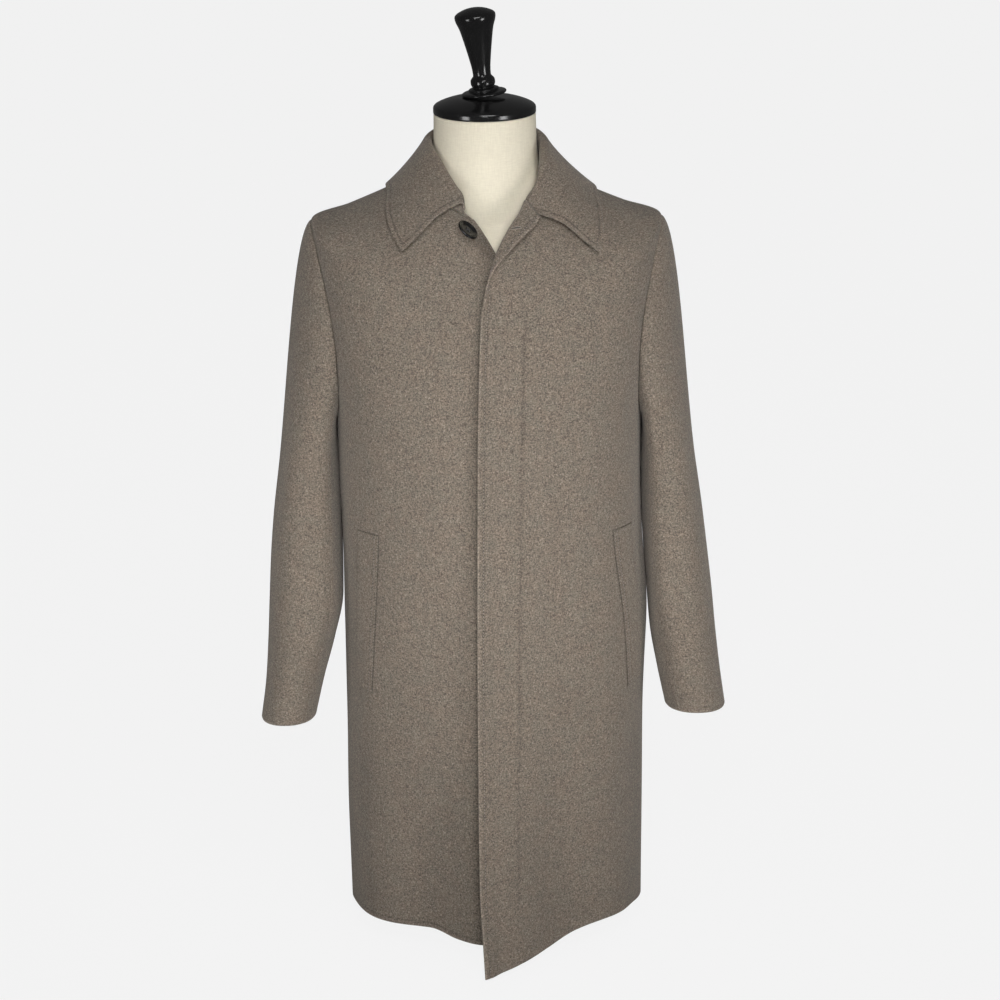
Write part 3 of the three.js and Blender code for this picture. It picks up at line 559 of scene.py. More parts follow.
def rounded(distance, radius, depth):
    # How far a rim dips: a quarter circle of this radius, stretched to this depth.
    near = np.clip(1 - distance / radius, 0, 1)
    return depth * (1 - np.sqrt(1 - near * near))


def makeMesh(name, points, quads, uv=None, attributes=None):
    mesh = bpy.data.meshes.new(name)
    mesh.vertices.add(len(points))
    mesh.vertices.foreach_set("co", np.ascontiguousarray(points * 0.001, dtype=np.float32).ravel())
    mesh.loops.add(quads.size)
    mesh.loops.foreach_set("vertex_index", quads.astype(np.int32).ravel())
    mesh.polygons.add(len(quads))
    mesh.polygons.foreach_set("loop_start", np.arange(0, quads.size, quads.shape[1], dtype=np.int32))
    mesh.polygons.foreach_set("use_smooth", np.ones(len(quads), dtype=bool))
    mesh.update(calc_edges=True)
    if uv is not None:
        layer = mesh.uv_layers.new(name="cloth")
        layer.data.foreach_set("uv", np.ascontiguousarray(uv[quads.ravel()], dtype=np.float32).ravel())
    for key, values in (attributes or {}).items():
        layer = mesh.attributes.new(key, "FLOAT", "POINT")
        layer.data.foreach_set("value", np.ascontiguousarray(values, dtype=np.float32).ravel())
    made = bpy.data.objects.new(name, mesh)
    scene.collection.objects.link(made)
    return made


def gridQuads(index):
    corners = [index[:-1, :-1], index[:-1, 1:], index[1:, 1:], index[1:, :-1]]
    return np.stack([c.ravel() for c in corners], -1)


def shell(name, points, facing, thickness, relief, marks=None, inner=0):
    # A closed cloth wall: the grid raised by its relief, the same moved in by the thickness, and a rim.
    normals = gridNormals(points, facing)
    out = points + scaled(normals, relief)
    back = points - scaled(normals, thickness + inner * np.ones(relief.shape))
    count = points.shape[0] * points.shape[1]
    index = np.arange(count).reshape(points.shape[:2])
    lower = index + count
    rim = []
    for a, b in (
        (index[0, ::-1], lower[0, ::-1]),
        (index[-1], lower[-1]),
        (index[:, 0], lower[:, 0]),
        (index[::-1, -1], lower[::-1, -1]),
    ):
        rim.append(np.stack([a[:-1], a[1:], b[1:], b[:-1]], -1))
    quads = np.concatenate([gridQuads(index), gridQuads(lower)[:, ::-1], *rim])
    if facing < 0:
        quads = quads[:, ::-1]
    distance = edgeDistances(points)
    uv = np.stack([distance["left"], distance["bottom"]], -1).reshape(-1, 2) * 0.001
    both = np.concatenate([out.reshape(-1, 3), back.reshape(-1, 3)]) - standBack
    marks = {key: np.concatenate([values.ravel()] * 2) for key, values in (marks or {}).items()}
    return makeMesh(name, both, quads, np.concatenate([uv, uv]), marks), out, normals


def edgeMarks(near, inset, others=()):
    # Painted highlight on the turned edge, and painted shade along a line of stitches.
    line = bell(near, inset, 1.1, 1)
    for other in others:
        line = np.maximum(line, bell(*other))
    return {"painted_edge_highlight": bell(near, 0, 1.5, 1), "painted_groove_shade": line}


def finishCloth(piece, node, points):
    across = np.linalg.norm(np.diff(points, axis=1), axis=-1).sum(1)
    up = np.linalg.norm(np.diff(points, axis=0), axis=-1).sum(0)
    corners = np.cross(points[1:, 1:] - points[:-1, :-1], points[1:, :-1] - points[:-1, 1:])
    area = float(np.linalg.norm(corners, axis=-1).sum() / 2) * 1e-6
    width, length = float(across.max()) * 1e-3, float(up.max()) * 1e-3
    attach(piece, "root")
    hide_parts(node)
    area = min(max(area, 0.31 * width * length), width * length)
    print(f"sheet {piece.name}: {width:.3f} x {length:.3f} m, {area:.3f} m2")


def lineAt(points, distance, at):
    # The points of a grid's rows that lie this far along them.
    at = np.broadcast_to(at, distance.shape[:1])
    i = np.clip((distance < at[:, None]).sum(1) - 1, 0, distance.shape[1] - 2)
    rows = np.arange(len(i))
    low, high = distance[rows, i], distance[rows, i + 1]
    share = np.clip((at - low) / np.maximum(high - low, 1e-9), 0, 1)
    return points[rows, i] + scaled(points[rows, i + 1] - points[rows, i], share)


def threads(name, paths, ups, radii):
    # Round threads along paths (thread, step, xyz): six-sided rings of the step's radius, closed at both ends.
    forward = unit(np.gradient(paths, axis=1))
    side = unit(np.cross(forward, ups))
    over = np.cross(side, forward)
    turn = np.linspace(0, 2 * np.pi, 6, endpoint=False)
    reach = np.broadcast_to(radii, paths.shape[:2])[..., None, None]
    ring = side[:, :, None] * np.cos(turn)[:, None] + over[:, :, None] * np.sin(turn)[:, None]
    points = paths[:, :, None] + ring * reach
    steps = paths.shape[1]
    index = np.arange(steps * 6).reshape(steps, 6)
    one = gridQuads(np.concatenate([index, index[:, :1]], 1))
    last = 6 * (steps - 1)
    first = np.array([[0, 1, 2, 3], [0, 3, 4, 5]])
    caps = np.concatenate([first, last + first[:, [3, 2, 1, 0]]])
    one = np.concatenate([one[:, ::-1], caps])
    quads = (one[None] + steps * 6 * np.arange(len(paths))[:, None, None]).reshape(-1, 4)
    made = makeMesh(name, points.reshape(-1, 3) - standBack, quads)
    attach(made, "root")
    return made


def stitches(name, path, normals, settings):
    # A row of short threads along a path, each one bowed so that its ends sink into the cloth.
    step = np.linalg.norm(np.diff(path, axis=0), axis=-1)
    run = np.concatenate([[0], np.cumsum(step)])
    centres = np.arange(settings["pitch"] / 2, run[-1], settings["pitch"])
    shape = np.array([-1, -0.6, 0, 0.6, 1])

    def sample(at, of):
        return np.stack([np.interp(at, run, of[:, k]) for k in range(3)], -1)

    at = centres[:, None] + shape * settings["length"] / 2
    ups = unit(sample(at, normals))
    paths = sample(at, path) + scaled(ups, settings["lift"] - 0.5 * shape**2)
    made = threads(name, paths, ups, settings["radius"] * np.array([0.2, 0.85, 1, 0.85, 0.2]))
    return made


# Coat body
topstitch = {"pitch": 4.2, "length": 3.0, "radius": 0.34, "lift": 0.05, "inset": 7.5, "flapInset": 5.5}
fly = {"at": 54, "wide": 2.2, "deep": 0.3, "shade": 0.6}
noStitches = -50
levels = panelLevels()[:, None]


def bodyRelief(points, edges):
    # Rims rounded where the cloth ends and pulled in where it is sewn.
    relief = np.zeros(points.shape[:2])
    distance = edgeDistances(points)
    for side, kind in edges.items():
        radius, depth = {"seam": (2.6, 0.6), "free": (1.3, 0.85)}[kind]
        relief = relief - rounded(distance[side], radius, depth)
    return relief, distance


u = clustered(112)[None, :]
rightPoints = rightFront(u, levels)
frontEdges = {"left": "free", "right": "seam", "bottom": "free", "top": "seam"}
rightRelief, rightDistance = bodyRelief(rightPoints, frontEdges)
rightRelief = rightRelief - bell(rightDistance["left"], topstitch["inset"], 1.6, 0.8)
rightNear = nearest(rightDistance, "left", "bottom")
rightMarks = edgeMarks(rightNear, topstitch["inset"])
# Painted shadow on the right front beside the lap's edge, wider towards the hem.
fromLap = along(leftEdge, "x", levels) - rightPoints[..., 0]
reach = 13 + 10 * (1 - ease(levels, 60, 420))
rightMarks["painted_lap_shadow"] = (1 - ease(fromLap, 0, reach)) * (1 - ease(levels, 905, 932))
rightFrontPiece, rightOut, rightNormals = shell(
    "front_right_cloth", rightPoints, -1, coat["cloth"], rightRelief, rightMarks
)

flapColumns = np.linspace(0, coat["flapShare"], 27)[:-1]
panelColumns = coat["flapShare"] + (1 - coat["flapShare"]) * clustered(112, 0.6)
u = np.concatenate([flapColumns, panelColumns])[None, :]
leftPoints = leftFront(u, levels)
leftRelief, leftDistance = bodyRelief(leftPoints, frontEdges)
leftInset = topstitch["inset"] + (topstitch["flapInset"] - topstitch["inset"]) * ease(levels, 880, 915)
leftRelief = leftRelief - bell(leftDistance["left"], leftInset, 1.6, 0.8)
leftNear = leftDistance["left"]
flyEnd = 1 - ease(levels, 850, 880)
leftRelief = leftRelief - bell(leftNear, fly["at"], fly["wide"], fly["deep"]) * flyEnd
# Painted shade along the fly's stitched groove, fading in above the hem and out below the yoke.
flyShade = fly["shade"] * flyEnd * ease(levels, 60, 120)
leftMarks = edgeMarks(leftNear, leftInset, [(leftNear, fly["at"], fly["wide"], flyShade)])
turnedOut = ease(levels, 885, 905)
leftInner = -turnedOut * (rounded(leftNear, 1.3, 0.5) + bell(leftNear, leftInset, 1.5, 0.6))
leftFrontPiece, leftOut, leftNormals = shell(
    "front_left_cloth", leftPoints, 1, coat["cloth"], leftRelief, leftMarks, leftInner
)

backPoints = backPanel(clustered(150, 0.7)[None, :], levels)
backRelief, backDistance = bodyRelief(backPoints, {**frontEdges, "left": "seam"})
backMarks = edgeMarks(backDistance["bottom"], noStitches)
backPiece = shell("back_cloth", backPoints, 1, coat["cloth"], backRelief, backMarks)[0]
print("body cut")

# Sleeves
sleevePieces = []
for sleeve in sleeves:
    for part, fromDeg, toDeg, columns in (("upper", -125, 125, 96), ("under", 125, 235, 56)):
        gap = coat["seam"] / 2 / 60
        turn = math.radians(fromDeg) + gap + (math.radians(toDeg - fromDeg) - 2 * gap) * clustered(columns, 0.8)
        down = np.concatenate([capShare * clustered(70, 0.5), capShare + (1 - capShare) * clustered(110, 0.5)[1:]])
        points = sleevePoint(turn[None, :], down[:, None], sleeve) * np.array([sleeve["side"], 1, 1])
        relief, distance = bodyRelief(points, {"left": "seam", "right": "seam", "bottom": "seam", "top": "free"})
        name = f"sleeve_{part}_{sleeve['name']}"
        marks = edgeMarks(distance["top"], noStitches)
        piece = shell(name + "_cloth", points, sleeve["side"], coat["cloth"], relief, marks)[0]
        sleevePieces.append((piece, name, points))
print("sleeves cut")

# Collar
collarGrid = collarPoint(clustered(220, 0.5)[None, :], clustered(70, 0.3)[:, None])
collarRelief, collarDistance = bodyRelief(
    collarGrid, {"left": "free", "right": "free", "bottom": "seam", "top": "free"}
)
collarNear = nearest(collarDistance, "left", "right", "top")
collarRelief = collarRelief - bell(collarNear, collar["inset"], 1.2, 0.5)
collarMarks = edgeMarks(collarNear, collar["inset"])
# A fainter painted highlight on the collar's edges.
collarMarks["painted_edge_highlight"] = 0.35 * collarMarks["painted_edge_highlight"]
collarPiece, collarOut, collarNormals = shell(
    "collar_cloth", collarGrid, -1, collar["cloth"], collarRelief, collarMarks
)

# Pocket welts
welts = {
    "top": 581,
    "bottom": 361,
    "topSlope": 0,
    "bottomSlope": 3,
    "wide": 14,
    "gap": 0.6,
    "cloth": 1.5,
    "lines": (2.5, 8),
    "left": (1, 40, 31),
    "right": (-1, 45.5, 37),
}
# Each welt lies on the coat's surface between two slanted lines, raised along its normal.
weltPieces = []
for name in ("left", "right"):
    side, topDeg, bottomDeg = welts[name]
    a, b = clustered(40, 0.7)[None, :], clustered(120, 0.7)[:, None]
    slope = welts["bottomSlope"] + (welts["topSlope"] - welts["bottomSlope"]) * b
    z = welts["bottom"] + (welts["top"] - welts["bottom"]) * b + slope * a
    turn = -np.radians(bottomDeg + (topDeg - bottomDeg) * b - welts["wide"] * a)
    angle = turn if side > 0 else -math.pi - turn
    points = coatPoint(angle, z) + scaled(coatNormal(angle, z), welts["gap"] + welts["cloth"])
    relief, distance = bodyRelief(points, {"left": "free", "right": "free", "bottom": "free", "top": "free"})
    for at in welts["lines"]:
        relief = relief - bell(distance["left"], at, 1.2, 0.55)
    near = nearest(distance, "top", "bottom", "left")
    lines = [(distance["left"], at, 0.9, amount) for at, amount in zip(welts["lines"], (0.6, 1.0))]
    marks = edgeMarks(near, 0.4, lines)
    # No painted highlight on the welts; painted shade along all four edges, where they lie in a shallow fold.
    near = np.minimum(near, distance["right"])
    marks["painted_edge_highlight"] = 0 * marks["painted_edge_highlight"]
    marks["painted_groove_shade"] = np.maximum(marks["painted_groove_shade"], bell(near, 0, 1.9, 1))
    piece, out, normals = shell(f"pocket_welt_{name}_cloth", points, side, welts["cloth"], relief, marks)
    weltPieces.append((piece, f"pocket_welt_{name}", points, out, normals, distance))
print("collar and welts cut")

# Topstitching
stitchRows = []
for name, out, normals, distance, inset in (
    ("stitches_front_left", leftOut, leftNormals, leftDistance, leftInset[:, 0]),
    ("stitches_front_right", rightOut, rightNormals, rightDistance, topstitch["inset"]),
):
    path = lineAt(out, distance["left"], inset)
    stitchRows.append(stitches(name, path[2:-2], lineAt(normals, distance["left"], inset)[2:-2], topstitch))
# The turned-out corner shows the same row on its other side.
under = leftPoints - scaled(leftNormals, coat["cloth"] + leftInner)
rows = levels[:, 0] > 893
path = lineAt(under, leftDistance["left"], leftInset[:, 0])[rows]
normal = -lineAt(leftNormals, leftDistance["left"], leftInset[:, 0])[rows]
stitchRows.append(stitches("stitches_flap", path[:-2], normal[:-2], topstitch))
collarTurned = collarOut.transpose(1, 0, 2)[:, ::-1]
fromTop = collarDistance["top"].T[:, ::-1]
path = lineAt(collarTurned, fromTop, collar["inset"])
normal = lineAt(collarNormals.transpose(1, 0, 2)[:, ::-1], fromTop, collar["inset"])
inside = nearest(collarDistance, "left", "right")[-1] > collar["inset"]
stitchRows.append(stitches("stitches_collar", path[inside], normal[inside], topstitch))
for piece, nodeName, points, out, normals, distance in weltPieces:
    for k, at in enumerate(welts["lines"]):
        path = lineAt(out, distance["left"], at)[3:-3]
        normal = lineAt(normals, distance["left"], at)[3:-3]
        stitchRows.append(stitches(f"stitches_{nodeName}_{k}", path, normal, topstitch))
# The buttonhole in the turned-out corner: a strip of dark thread as painted shade in the slit, between two rows of
# wrapped thread.
buttonhole = {"across": (0.2, 0.105), "level": (957.6, 961.6), "wraps": 17, "reach": 1.7, "radius": 0.26}


def onFlap(share):
    # A point and the upward direction on the corner's visible side, at this share of the buttonhole's length.
    u, level = (low + (high - low) * share for low, high in (buttonhole["across"], buttonhole["level"]))
    across = leftFront(u + 0.004, level) - leftFront(u - 0.004, level)
    up = -unit(np.cross(across, leftFront(u, level + 0.5) - leftFront(u, level - 0.5)))
    return leftFront(u, level) + coat["cloth"] * up, up


# A dark strip along the slit stands in for its shade.
slit, slitUp = onFlap(np.linspace(0.04, 0.96, 12))
slitWide = 0.8 * np.sin(np.linspace(0.3, 2.84, 12))
slitShadePiece = threads("buttonhole_slit_shade", (slit + 0.05 * slitUp)[None], slitUp[None], slitWide)
spots, spotUp = onFlap(np.linspace(0, 1, buttonhole["wraps"]))
sideways = unit(np.cross(np.gradient(spots, axis=0), spotUp))
wraps = []
for side in (-1, 1):
    for reach, lift in ((0.7, 0.1), (1.0, 0.3), (1.3, 0.3), (buttonhole["reach"], -0.1)):
        wraps.append(spots + side * reach * sideways + lift * spotUp)
wraps = np.stack(wraps, 1).reshape(-1, 4, 3)
wrapUp = np.broadcast_to(np.repeat(spotUp, 2, 0)[:, None], wraps.shape)
wrapPiece = threads("buttonhole_thread", wraps, wrapUp, np.full(4, buttonhole["radius"]))
print("stitched")


# Turned pieces
def turnTo(axis):
    # The rotation that brings the upright axis to this one by the shortest way.
    return np.array(Vector((0, 0, 1)).rotation_difference(Vector(axis)).to_matrix())


def closeRings(name, points, segments):
    # Rings of so many points joined all round, each end closed to its pole: the last two points.
    index = np.arange(len(points) - 2).reshape(-1, segments)
    index = np.concatenate([index, index[:, :1]], 1)
    low, high = len(points) - 2, len(points) - 1
    faces = gridQuads(index).tolist()
    faces += [(low, int(b), int(a)) for a, b in zip(index[0][:-1], index[0][1:])]
    faces += [(high, int(a), int(b)) for a, b in zip(index[-1][:-1], index[-1][1:])]
    mesh = bpy.data.meshes.new(name)
    mesh.from_pydata((points * 0.001).tolist(), [], faces)
    mesh.shade_smooth()
    piece = bpy.data.objects.new(name, mesh)
    scene.collection.objects.link(piece)
    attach(piece, "root")
    return piece


def lathe(name, profile, segments, place, axis=(0, 0, 1), relief=None):
    # A profile of radius and height spun round its axis, with its poles closed by one point each.
    profile = np.array(profile, float)
    turn = np.linspace(0, 2 * np.pi, segments, endpoint=False)
    radius = profile[1:-1, :1]
    height = np.repeat(profile[1:-1, 1:], segments, 1)
    ring = np.stack([radius * np.cos(turn)[None], radius * np.sin(turn)[None], height], -1)
    if relief is not None:
        ring[..., 2] += relief(ring)
    points = np.concatenate([ring.reshape(-1, 3), [[0, 0, profile[0, 1]], [0, 0, profile[-1, 1]]]])
    turned = points @ turnTo(axis).T + np.array(place) - standBack
    return closeRings(name, turned, segments)


def smoothProfile(profile, steps=5):
    # The profile with its corners softened: a curve through its points by chord length.
    profile = np.array(profile, float)
    run = np.concatenate([[0], np.cumsum(np.linalg.norm(np.diff(profile, axis=0), axis=1))])
    rows = {"run": run, "radius": profile[:, 0], "height": profile[:, 1]}
    at = np.unique(np.concatenate([np.linspace(a, b, steps + 1) for a, b in zip(run[:-1], run[1:])]))
    return np.stack([along(rows, "radius", at), along(rows, "height", at)], -1)


capZ = 1082
cap = {
    "height": 19.5,
    "profile": [
        (0, 0.3), (60.3, 0.3), (61.4, 0.7), (62, 1.8), (62, 6.6), (61.3, 8.6), (59.5, 10.3), (50, 14.5),
        (38, 18), (29, 19.5), (0, 19.5),
    ],
}
finial = {
    "lean": math.radians(6),
    "gap": 0.3,
    "foot": 26,
    "profile": [
        (0, 0), (25.5, 0), (26.7, 0.8), (27, 2), (26.2, 3.1), (24.5, 3.8), (18, 5), (18.4, 6.4), (16, 8),
        (12.4, 9.4), (14.1, 11), (14.8, 14), (14.6, 17.5), (12.6, 20.5), (10.8, 23), (11, 29), (13.2, 44),
        (16.6, 62), (20.6, 80), (24.4, 91), (24.6, 94), (23.6, 96.5), (18, 100), (9, 103), (0, 104),
    ],
}
capPiece = lathe("cap_turned", smoothProfile(cap["profile"], 3), 96, (0, 0, capZ))
finialZ = capZ + cap["height"] + finial["gap"] + finial["foot"] * math.sin(finial["lean"])
leaning = (-math.sin(finial["lean"]), 0, math.cos(finial["lean"]))
finialPiece = lathe("finial_turned", smoothProfile(finial["profile"], 3), 96, (0, 0, finialZ), leaning)
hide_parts("neck_cap")
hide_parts("finial")

# Dress form
formRings = table(
    "level zSide zBack half front back square",
    (300, 300, 300, 150, -96, 92, 2.1),
    (318, 318, 318, 158, -104, 99, 2.1),
    (400, 400, 400, 164, -110, 103, 2.1),
    (500, 500, 500, 153, -107, 92, 2.1),
    (600, 600, 600, 141, -106, 84, 2.15),
    (700, 700, 700, 154, -120, 94, 2.2),
    (780, 800, 790, 171, -130, 109, 2.3),
    (840, 885, 872, 184, -130, 116, 2.35),
    (872, 934, 916, 190, -126, 115, 2.35),
)
form = {"gap": 0.6, "frontRecess": 27, "neckRecess": 4, "neckRadius": 63}


def onYoke(angle, level):
    # The form's shoulders: the coat's surface moved in by cloth and gap, and further behind its opening.
    level = np.minimum(level, coat["neck"]) - 0.5
    across = ringPoint(bodyRings, angle + 0.004, level) - ringPoint(bodyRings, angle - 0.004, level)
    up = ringPoint(bodyRings, angle, level + 0.5) - ringPoint(bodyRings, angle, level - 0.5)
    inFront = ease(-np.sin(angle), 0.35, 0.9) * ease(level, 880, 940)
    gap = form["gap"] + form["frontRecess"] * inFront + form["neckRecess"] * ease(level, 945, coat["neck"])
    return ringPoint(bodyRings, angle, level + 0.5) - scaled(unit(np.cross(across, up)), coat["cloth"] + gap)


# The torso's rings, the shoulders inside the coat, then rings that narrow into the round neck.
turn = np.linspace(0, 2 * np.pi, 144, endpoint=False)[None, :]
torso = ringPoint(formRings, turn, np.linspace(300, 872, 60)[:, None])
yoke = onYoke(turn, np.linspace(coat["shoulder"], coat["neck"], 44)[:, None])
t = np.linspace(0, 1, 30)[1:, None]
shoulder = onYoke(turn, np.full((1, 1), coat["neck"]))
neck = np.stack([np.cos(turn), np.sin(turn), 0 * turn], -1) * (form["neckRadius"] - 1.5 * t)[..., None]
narrow = 1 - (1 - np.minimum(t * 1.6, 1)) ** 2.5
throat = shoulder * (1 - narrow[..., None]) + neck * narrow[..., None]
throat[..., 2] = shoulder[..., 2] + (capZ - shoulder[..., 2]) * t**0.9
rings = np.concatenate([torso, yoke, throat])
formPoints = np.concatenate([rings.reshape(-1, 3), rings[:1].mean(1), rings[-1:].mean(1)])
formPiece = closeRings("form_linen", formPoints - standBack, turn.size)
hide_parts("form_torso")
print("form made")

# Button, on the right front: a dished disc with a ringed rim and four holes, leaning on its shank of thread
button = {
    "level": 957,
    "fromEdge": 24,
    "lift": 7.4,
    "axis": (0.61, -0.32, 0.725),
    "profile": [
        (0, 0), (10.5, 0), (12.4, 0.4), (13.6, 1.1), (14, 2.0), (13.7, 2.8), (13, 3.3), (12.2, 3.4),
        (11.5, 3.0), (11.1, 2.5), (10.6, 2.4), (10.2, 2.65), (9.7, 2.7), (9.2, 2.3), (8.4, 1.95), (7, 1.75),
    ],
    "face": 1.65,
    "hole": 2.5,
    "holeRadius": 1.15,
    "holeDepth": 1.7,
    "strand": 0.36,
    "strandGap": 0.62,
    "strandRise": 0.5,
    "crossRise": 0.2,
    "sink": 2.2,
    "sinkFrom": 0.72,
}


def holes(ring):
    # Four round pits in the face, with a soft rim.
    away = np.hypot(np.abs(ring[..., 0]) - button["hole"], np.abs(ring[..., 1]) - button["hole"])
    pit = 1 - ease(away, 0.7 * button["holeRadius"], 1.15 * button["holeRadius"])
    return -button["holeDepth"] * pit * (ring[..., 2] > 0.5 * button["face"])


row = int(np.argmin(np.abs(levels[:, 0] - button["level"])))
column = int(np.argmin(np.abs(rightPoints[row, :, 0] - (rightPoints[row, 0, 0] - button["fromEdge"]))))
buttonPlace = rightPoints[row, column] + rightNormals[row, column] * button["lift"]
face = [(r, button["face"]) for r in np.linspace(6, 0.3, 30)] + [(0, button["face"])]
rim = smoothProfile(button["profile"], 2)
buttonPiece = lathe("button_turned", np.concatenate([rim, face]), 120, buttonPlace, button["axis"], holes)
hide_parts("top_button")
# The crossed thread: three strands along each diagonal, down into the holes, and the shank beneath.
t = np.linspace(-1, 1, 17)
strands = []
for diagonal in ((1, 1), (1, -1)):
    ahead = np.array([*diagonal, 0]) / math.sqrt(2)
    beside = np.array([-ahead[1], ahead[0], 0])
    for offset in (-1, 0, 1):
        reach = button["hole"] * math.sqrt(2) * np.sign(t) * np.abs(t) ** 0.8
        high = button["face"] + button["strandRise"] + (button["crossRise"] if diagonal[1] < 0 else 0)
        ends = np.clip(np.abs(t) - button["sinkFrom"], 0, 1) / (1 - button["sinkFrom"])
        strand = reach[:, None] * ahead + button["strandGap"] * offset * (1 - 0.4 * t[:, None] ** 4) * beside
        strand[:, 2] = high - button["sink"] * ends
        strands.append(strand)
strands = np.array(strands) @ turnTo(button["axis"]).T + buttonPlace
up = np.broadcast_to(unit(np.array(button["axis"])), strands.shape)
crossPiece = threads("button_thread", strands, up, np.full(17, button["strand"]))
foot = buttonPlace - rightNormals[row, column] * (button["lift"] + 1)
shank = foot + (buttonPlace + 0.5 * unit(np.array(button["axis"])) - foot) * np.linspace(0, 1, 6)[:, None]
shank = shank + np.array([[0, 0, 0], [0.9, 0, 0.5], [-0.8, 0.3, 0.4]])[:, None]
shankPiece = threads("button_shank", shank, np.broadcast_to((0, -1.0, 0), shank.shape), np.full(6, 0.75))


# Materials
def node(tree, kind, settings=None, inputs=None):
    made = tree.nodes.new(kind)
    for key, value in (settings or {}).items():
        setattr(made, key, value)
    for key, value in (inputs or {}).items():
        if isinstance(value, bpy.types.NodeSocket):
            tree.links.new(value, made.inputs[key])
        else:
            made.inputs[key].default_value = value
    return made


def material(name, values):
    made = bpy.data.materials.new(name)
    made.use_nodes = True
    shader = made.node_tree.nodes["Principled BSDF"]
    for key, value in values.items():
        shader.inputs[key].default_value = value
    return made, made.node_tree, shader


def ramp(tree, value, stops):
    made = node(tree, "ShaderNodeValToRGB", inputs={0: value})
    bar = made.color_ramp
    while len(bar.elements) < len(stops):
        bar.elements.new(0.5)
    for element, (at, colour) in zip(bar.elements, stops):
        element.position = at
        element.color = (*colour, 1)
    return made.outputs["Color"]


def noise(tree, vector, scale, detail=2.0, roughness=0.5):
    made = node(
        tree,
        "ShaderNodeTexNoise",
        inputs={"Vector": vector, "Scale": scale, "Detail": detail, "Roughness": roughness},
    )
    return made.outputs["Fac"]


def mixColour(tree, blend, factor, a, b):
    settings = {"data_type": "RGBA", "blend_type": blend}
    return node(tree, "ShaderNodeMix", settings, {0: factor, 6: a, 7: b}).outputs[2]


def wool(name, cloth):
    # Melange cashmere: fine light and dark hairs over a mean colour, faint warm and green patches, a soft nap.
    made, tree, shader = material(
        name,
        {
            "Roughness": 0.95,
            "Specular IOR Level": 0.12,
            "Sheen Weight": cloth["sheen"],
            "Sheen Roughness": 0.55,
            "Sheen Tint": (*cloth["nap"], 1),
        },
    )
    place = node(tree, "ShaderNodeTexCoord").outputs["Object"]
    streak = node(tree, "ShaderNodeMapping", inputs={"Vector": place, "Scale": (1, 1, 0.4)}).outputs[0]
    cross = node(tree, "ShaderNodeMapping", inputs={"Vector": place, "Scale": (0.4, 0.4, 1)}).outputs[0]
    warp, weft = noise(tree, streak, cloth["grain"], 3, 0.7), noise(tree, cross, cloth["grain"], 3, 0.7)
    grain = node(tree, "ShaderNodeMix", inputs={0: 0.5, 2: warp, 3: weft}).outputs[0]
    colour = ramp(tree, grain, cloth["stops"])
    patches = ramp(tree, noise(tree, place, 55, 2, 0.6), [(0.35, (1.03, 1.0, 0.97)), (0.65, (0.98, 1.0, 0.985))])
    colour = mixColour(tree, "MULTIPLY", 1.0, colour, patches)
    flecks = ramp(tree, noise(tree, streak, cloth["grain"] * 1.9, 1, 0.5), [(0.66, (0, 0, 0)), (0.74, (1, 1, 1))])
    colour = mixColour(tree, "MIX", flecks, colour, (*cloth["fleck"], 1))
    # Painted highlight on turned edges, painted shade along stitched grooves and painted shadow beside the lap's
    # edge.
    for key in ("painted_edge_highlight", "painted_groove_shade", "painted_lap_shadow"):
        mark = node(tree, "ShaderNodeAttribute", {"attribute_name": key}).outputs["Fac"]
        tint = ramp(tree, mark, [(0, (1, 1, 1)), (1, cloth[key])])
        colour = mixColour(tree, "MULTIPLY", 1.0, colour, tint)
    tree.links.new(colour, shader.inputs["Base Color"])
    fine = noise(tree, streak, 1300, 2, 0.6)
    height = node(tree, "ShaderNodeMath", {"operation": "ADD"}, {0: fine, 1: grain}).outputs[0]
    bump = node(tree, "ShaderNodeBump", inputs={"Height": height, "Strength": 0.45, "Distance": 0.0007})
    tree.links.new(bump.outputs["Normal"], shader.inputs["Normal"])
    return made


coatCloth = {
    "sheen": 0.18,
    "nap": (1.0, 0.95, 0.88),
    "grain": 880,
    "stops": [
        (0.34, (0.044, 0.037, 0.030)),
        (0.46, (0.127, 0.106, 0.0866)),
        (0.54, (0.204, 0.171, 0.140)),
        (0.67, (0.385, 0.322, 0.264)),
    ],
    "fleck": (0.345, 0.2845, 0.233),
    # Tints of the painted highlight, the painted groove shade and the painted lap shadow.
    "painted_edge_highlight": (1.5, 1.5, 1.5),
    "painted_groove_shade": (0.64, 0.64, 0.64),
    "painted_lap_shadow": (0.5, 0.5, 0.5),
}
woolMaterial = wool("cashmere_melange", coatCloth)

linenMaterial, tree, shader = material(
    "plain_linen", {"Roughness": 0.85, "Specular IOR Level": 0.2, "Sheen Weight": 0.05}
)
place = node(tree, "ShaderNodeTexCoord").outputs["Object"]
upright = node(tree, "ShaderNodeMapping", inputs={"Vector": place, "Scale": (1, 1, 0.08)}).outputs[0]
level = node(tree, "ShaderNodeMapping", inputs={"Vector": place, "Scale": (0.12, 0.12, 1)}).outputs[0]
warp = noise(tree, upright, 900, 2, 0.6)
weft = noise(tree, level, 900, 2, 0.6)
weave = node(tree, "ShaderNodeMath", {"operation": "ADD"}, {0: warp, 1: weft}).outputs[0]
halved = node(tree, "ShaderNodeMath", {"operation": "MULTIPLY"}, {0: weave, 1: 0.5}).outputs[0]
colour = ramp(tree, halved, [(0.36, (0.74, 0.68, 0.54)), (0.62, (0.82, 0.76, 0.61))])
tree.links.new(colour, shader.inputs["Base Color"])
bump = node(tree, "ShaderNodeBump", inputs={"Height": halved, "Strength": 0.3, "Distance": 0.0004})
tree.links.new(bump.outputs["Normal"], shader.inputs["Normal"])


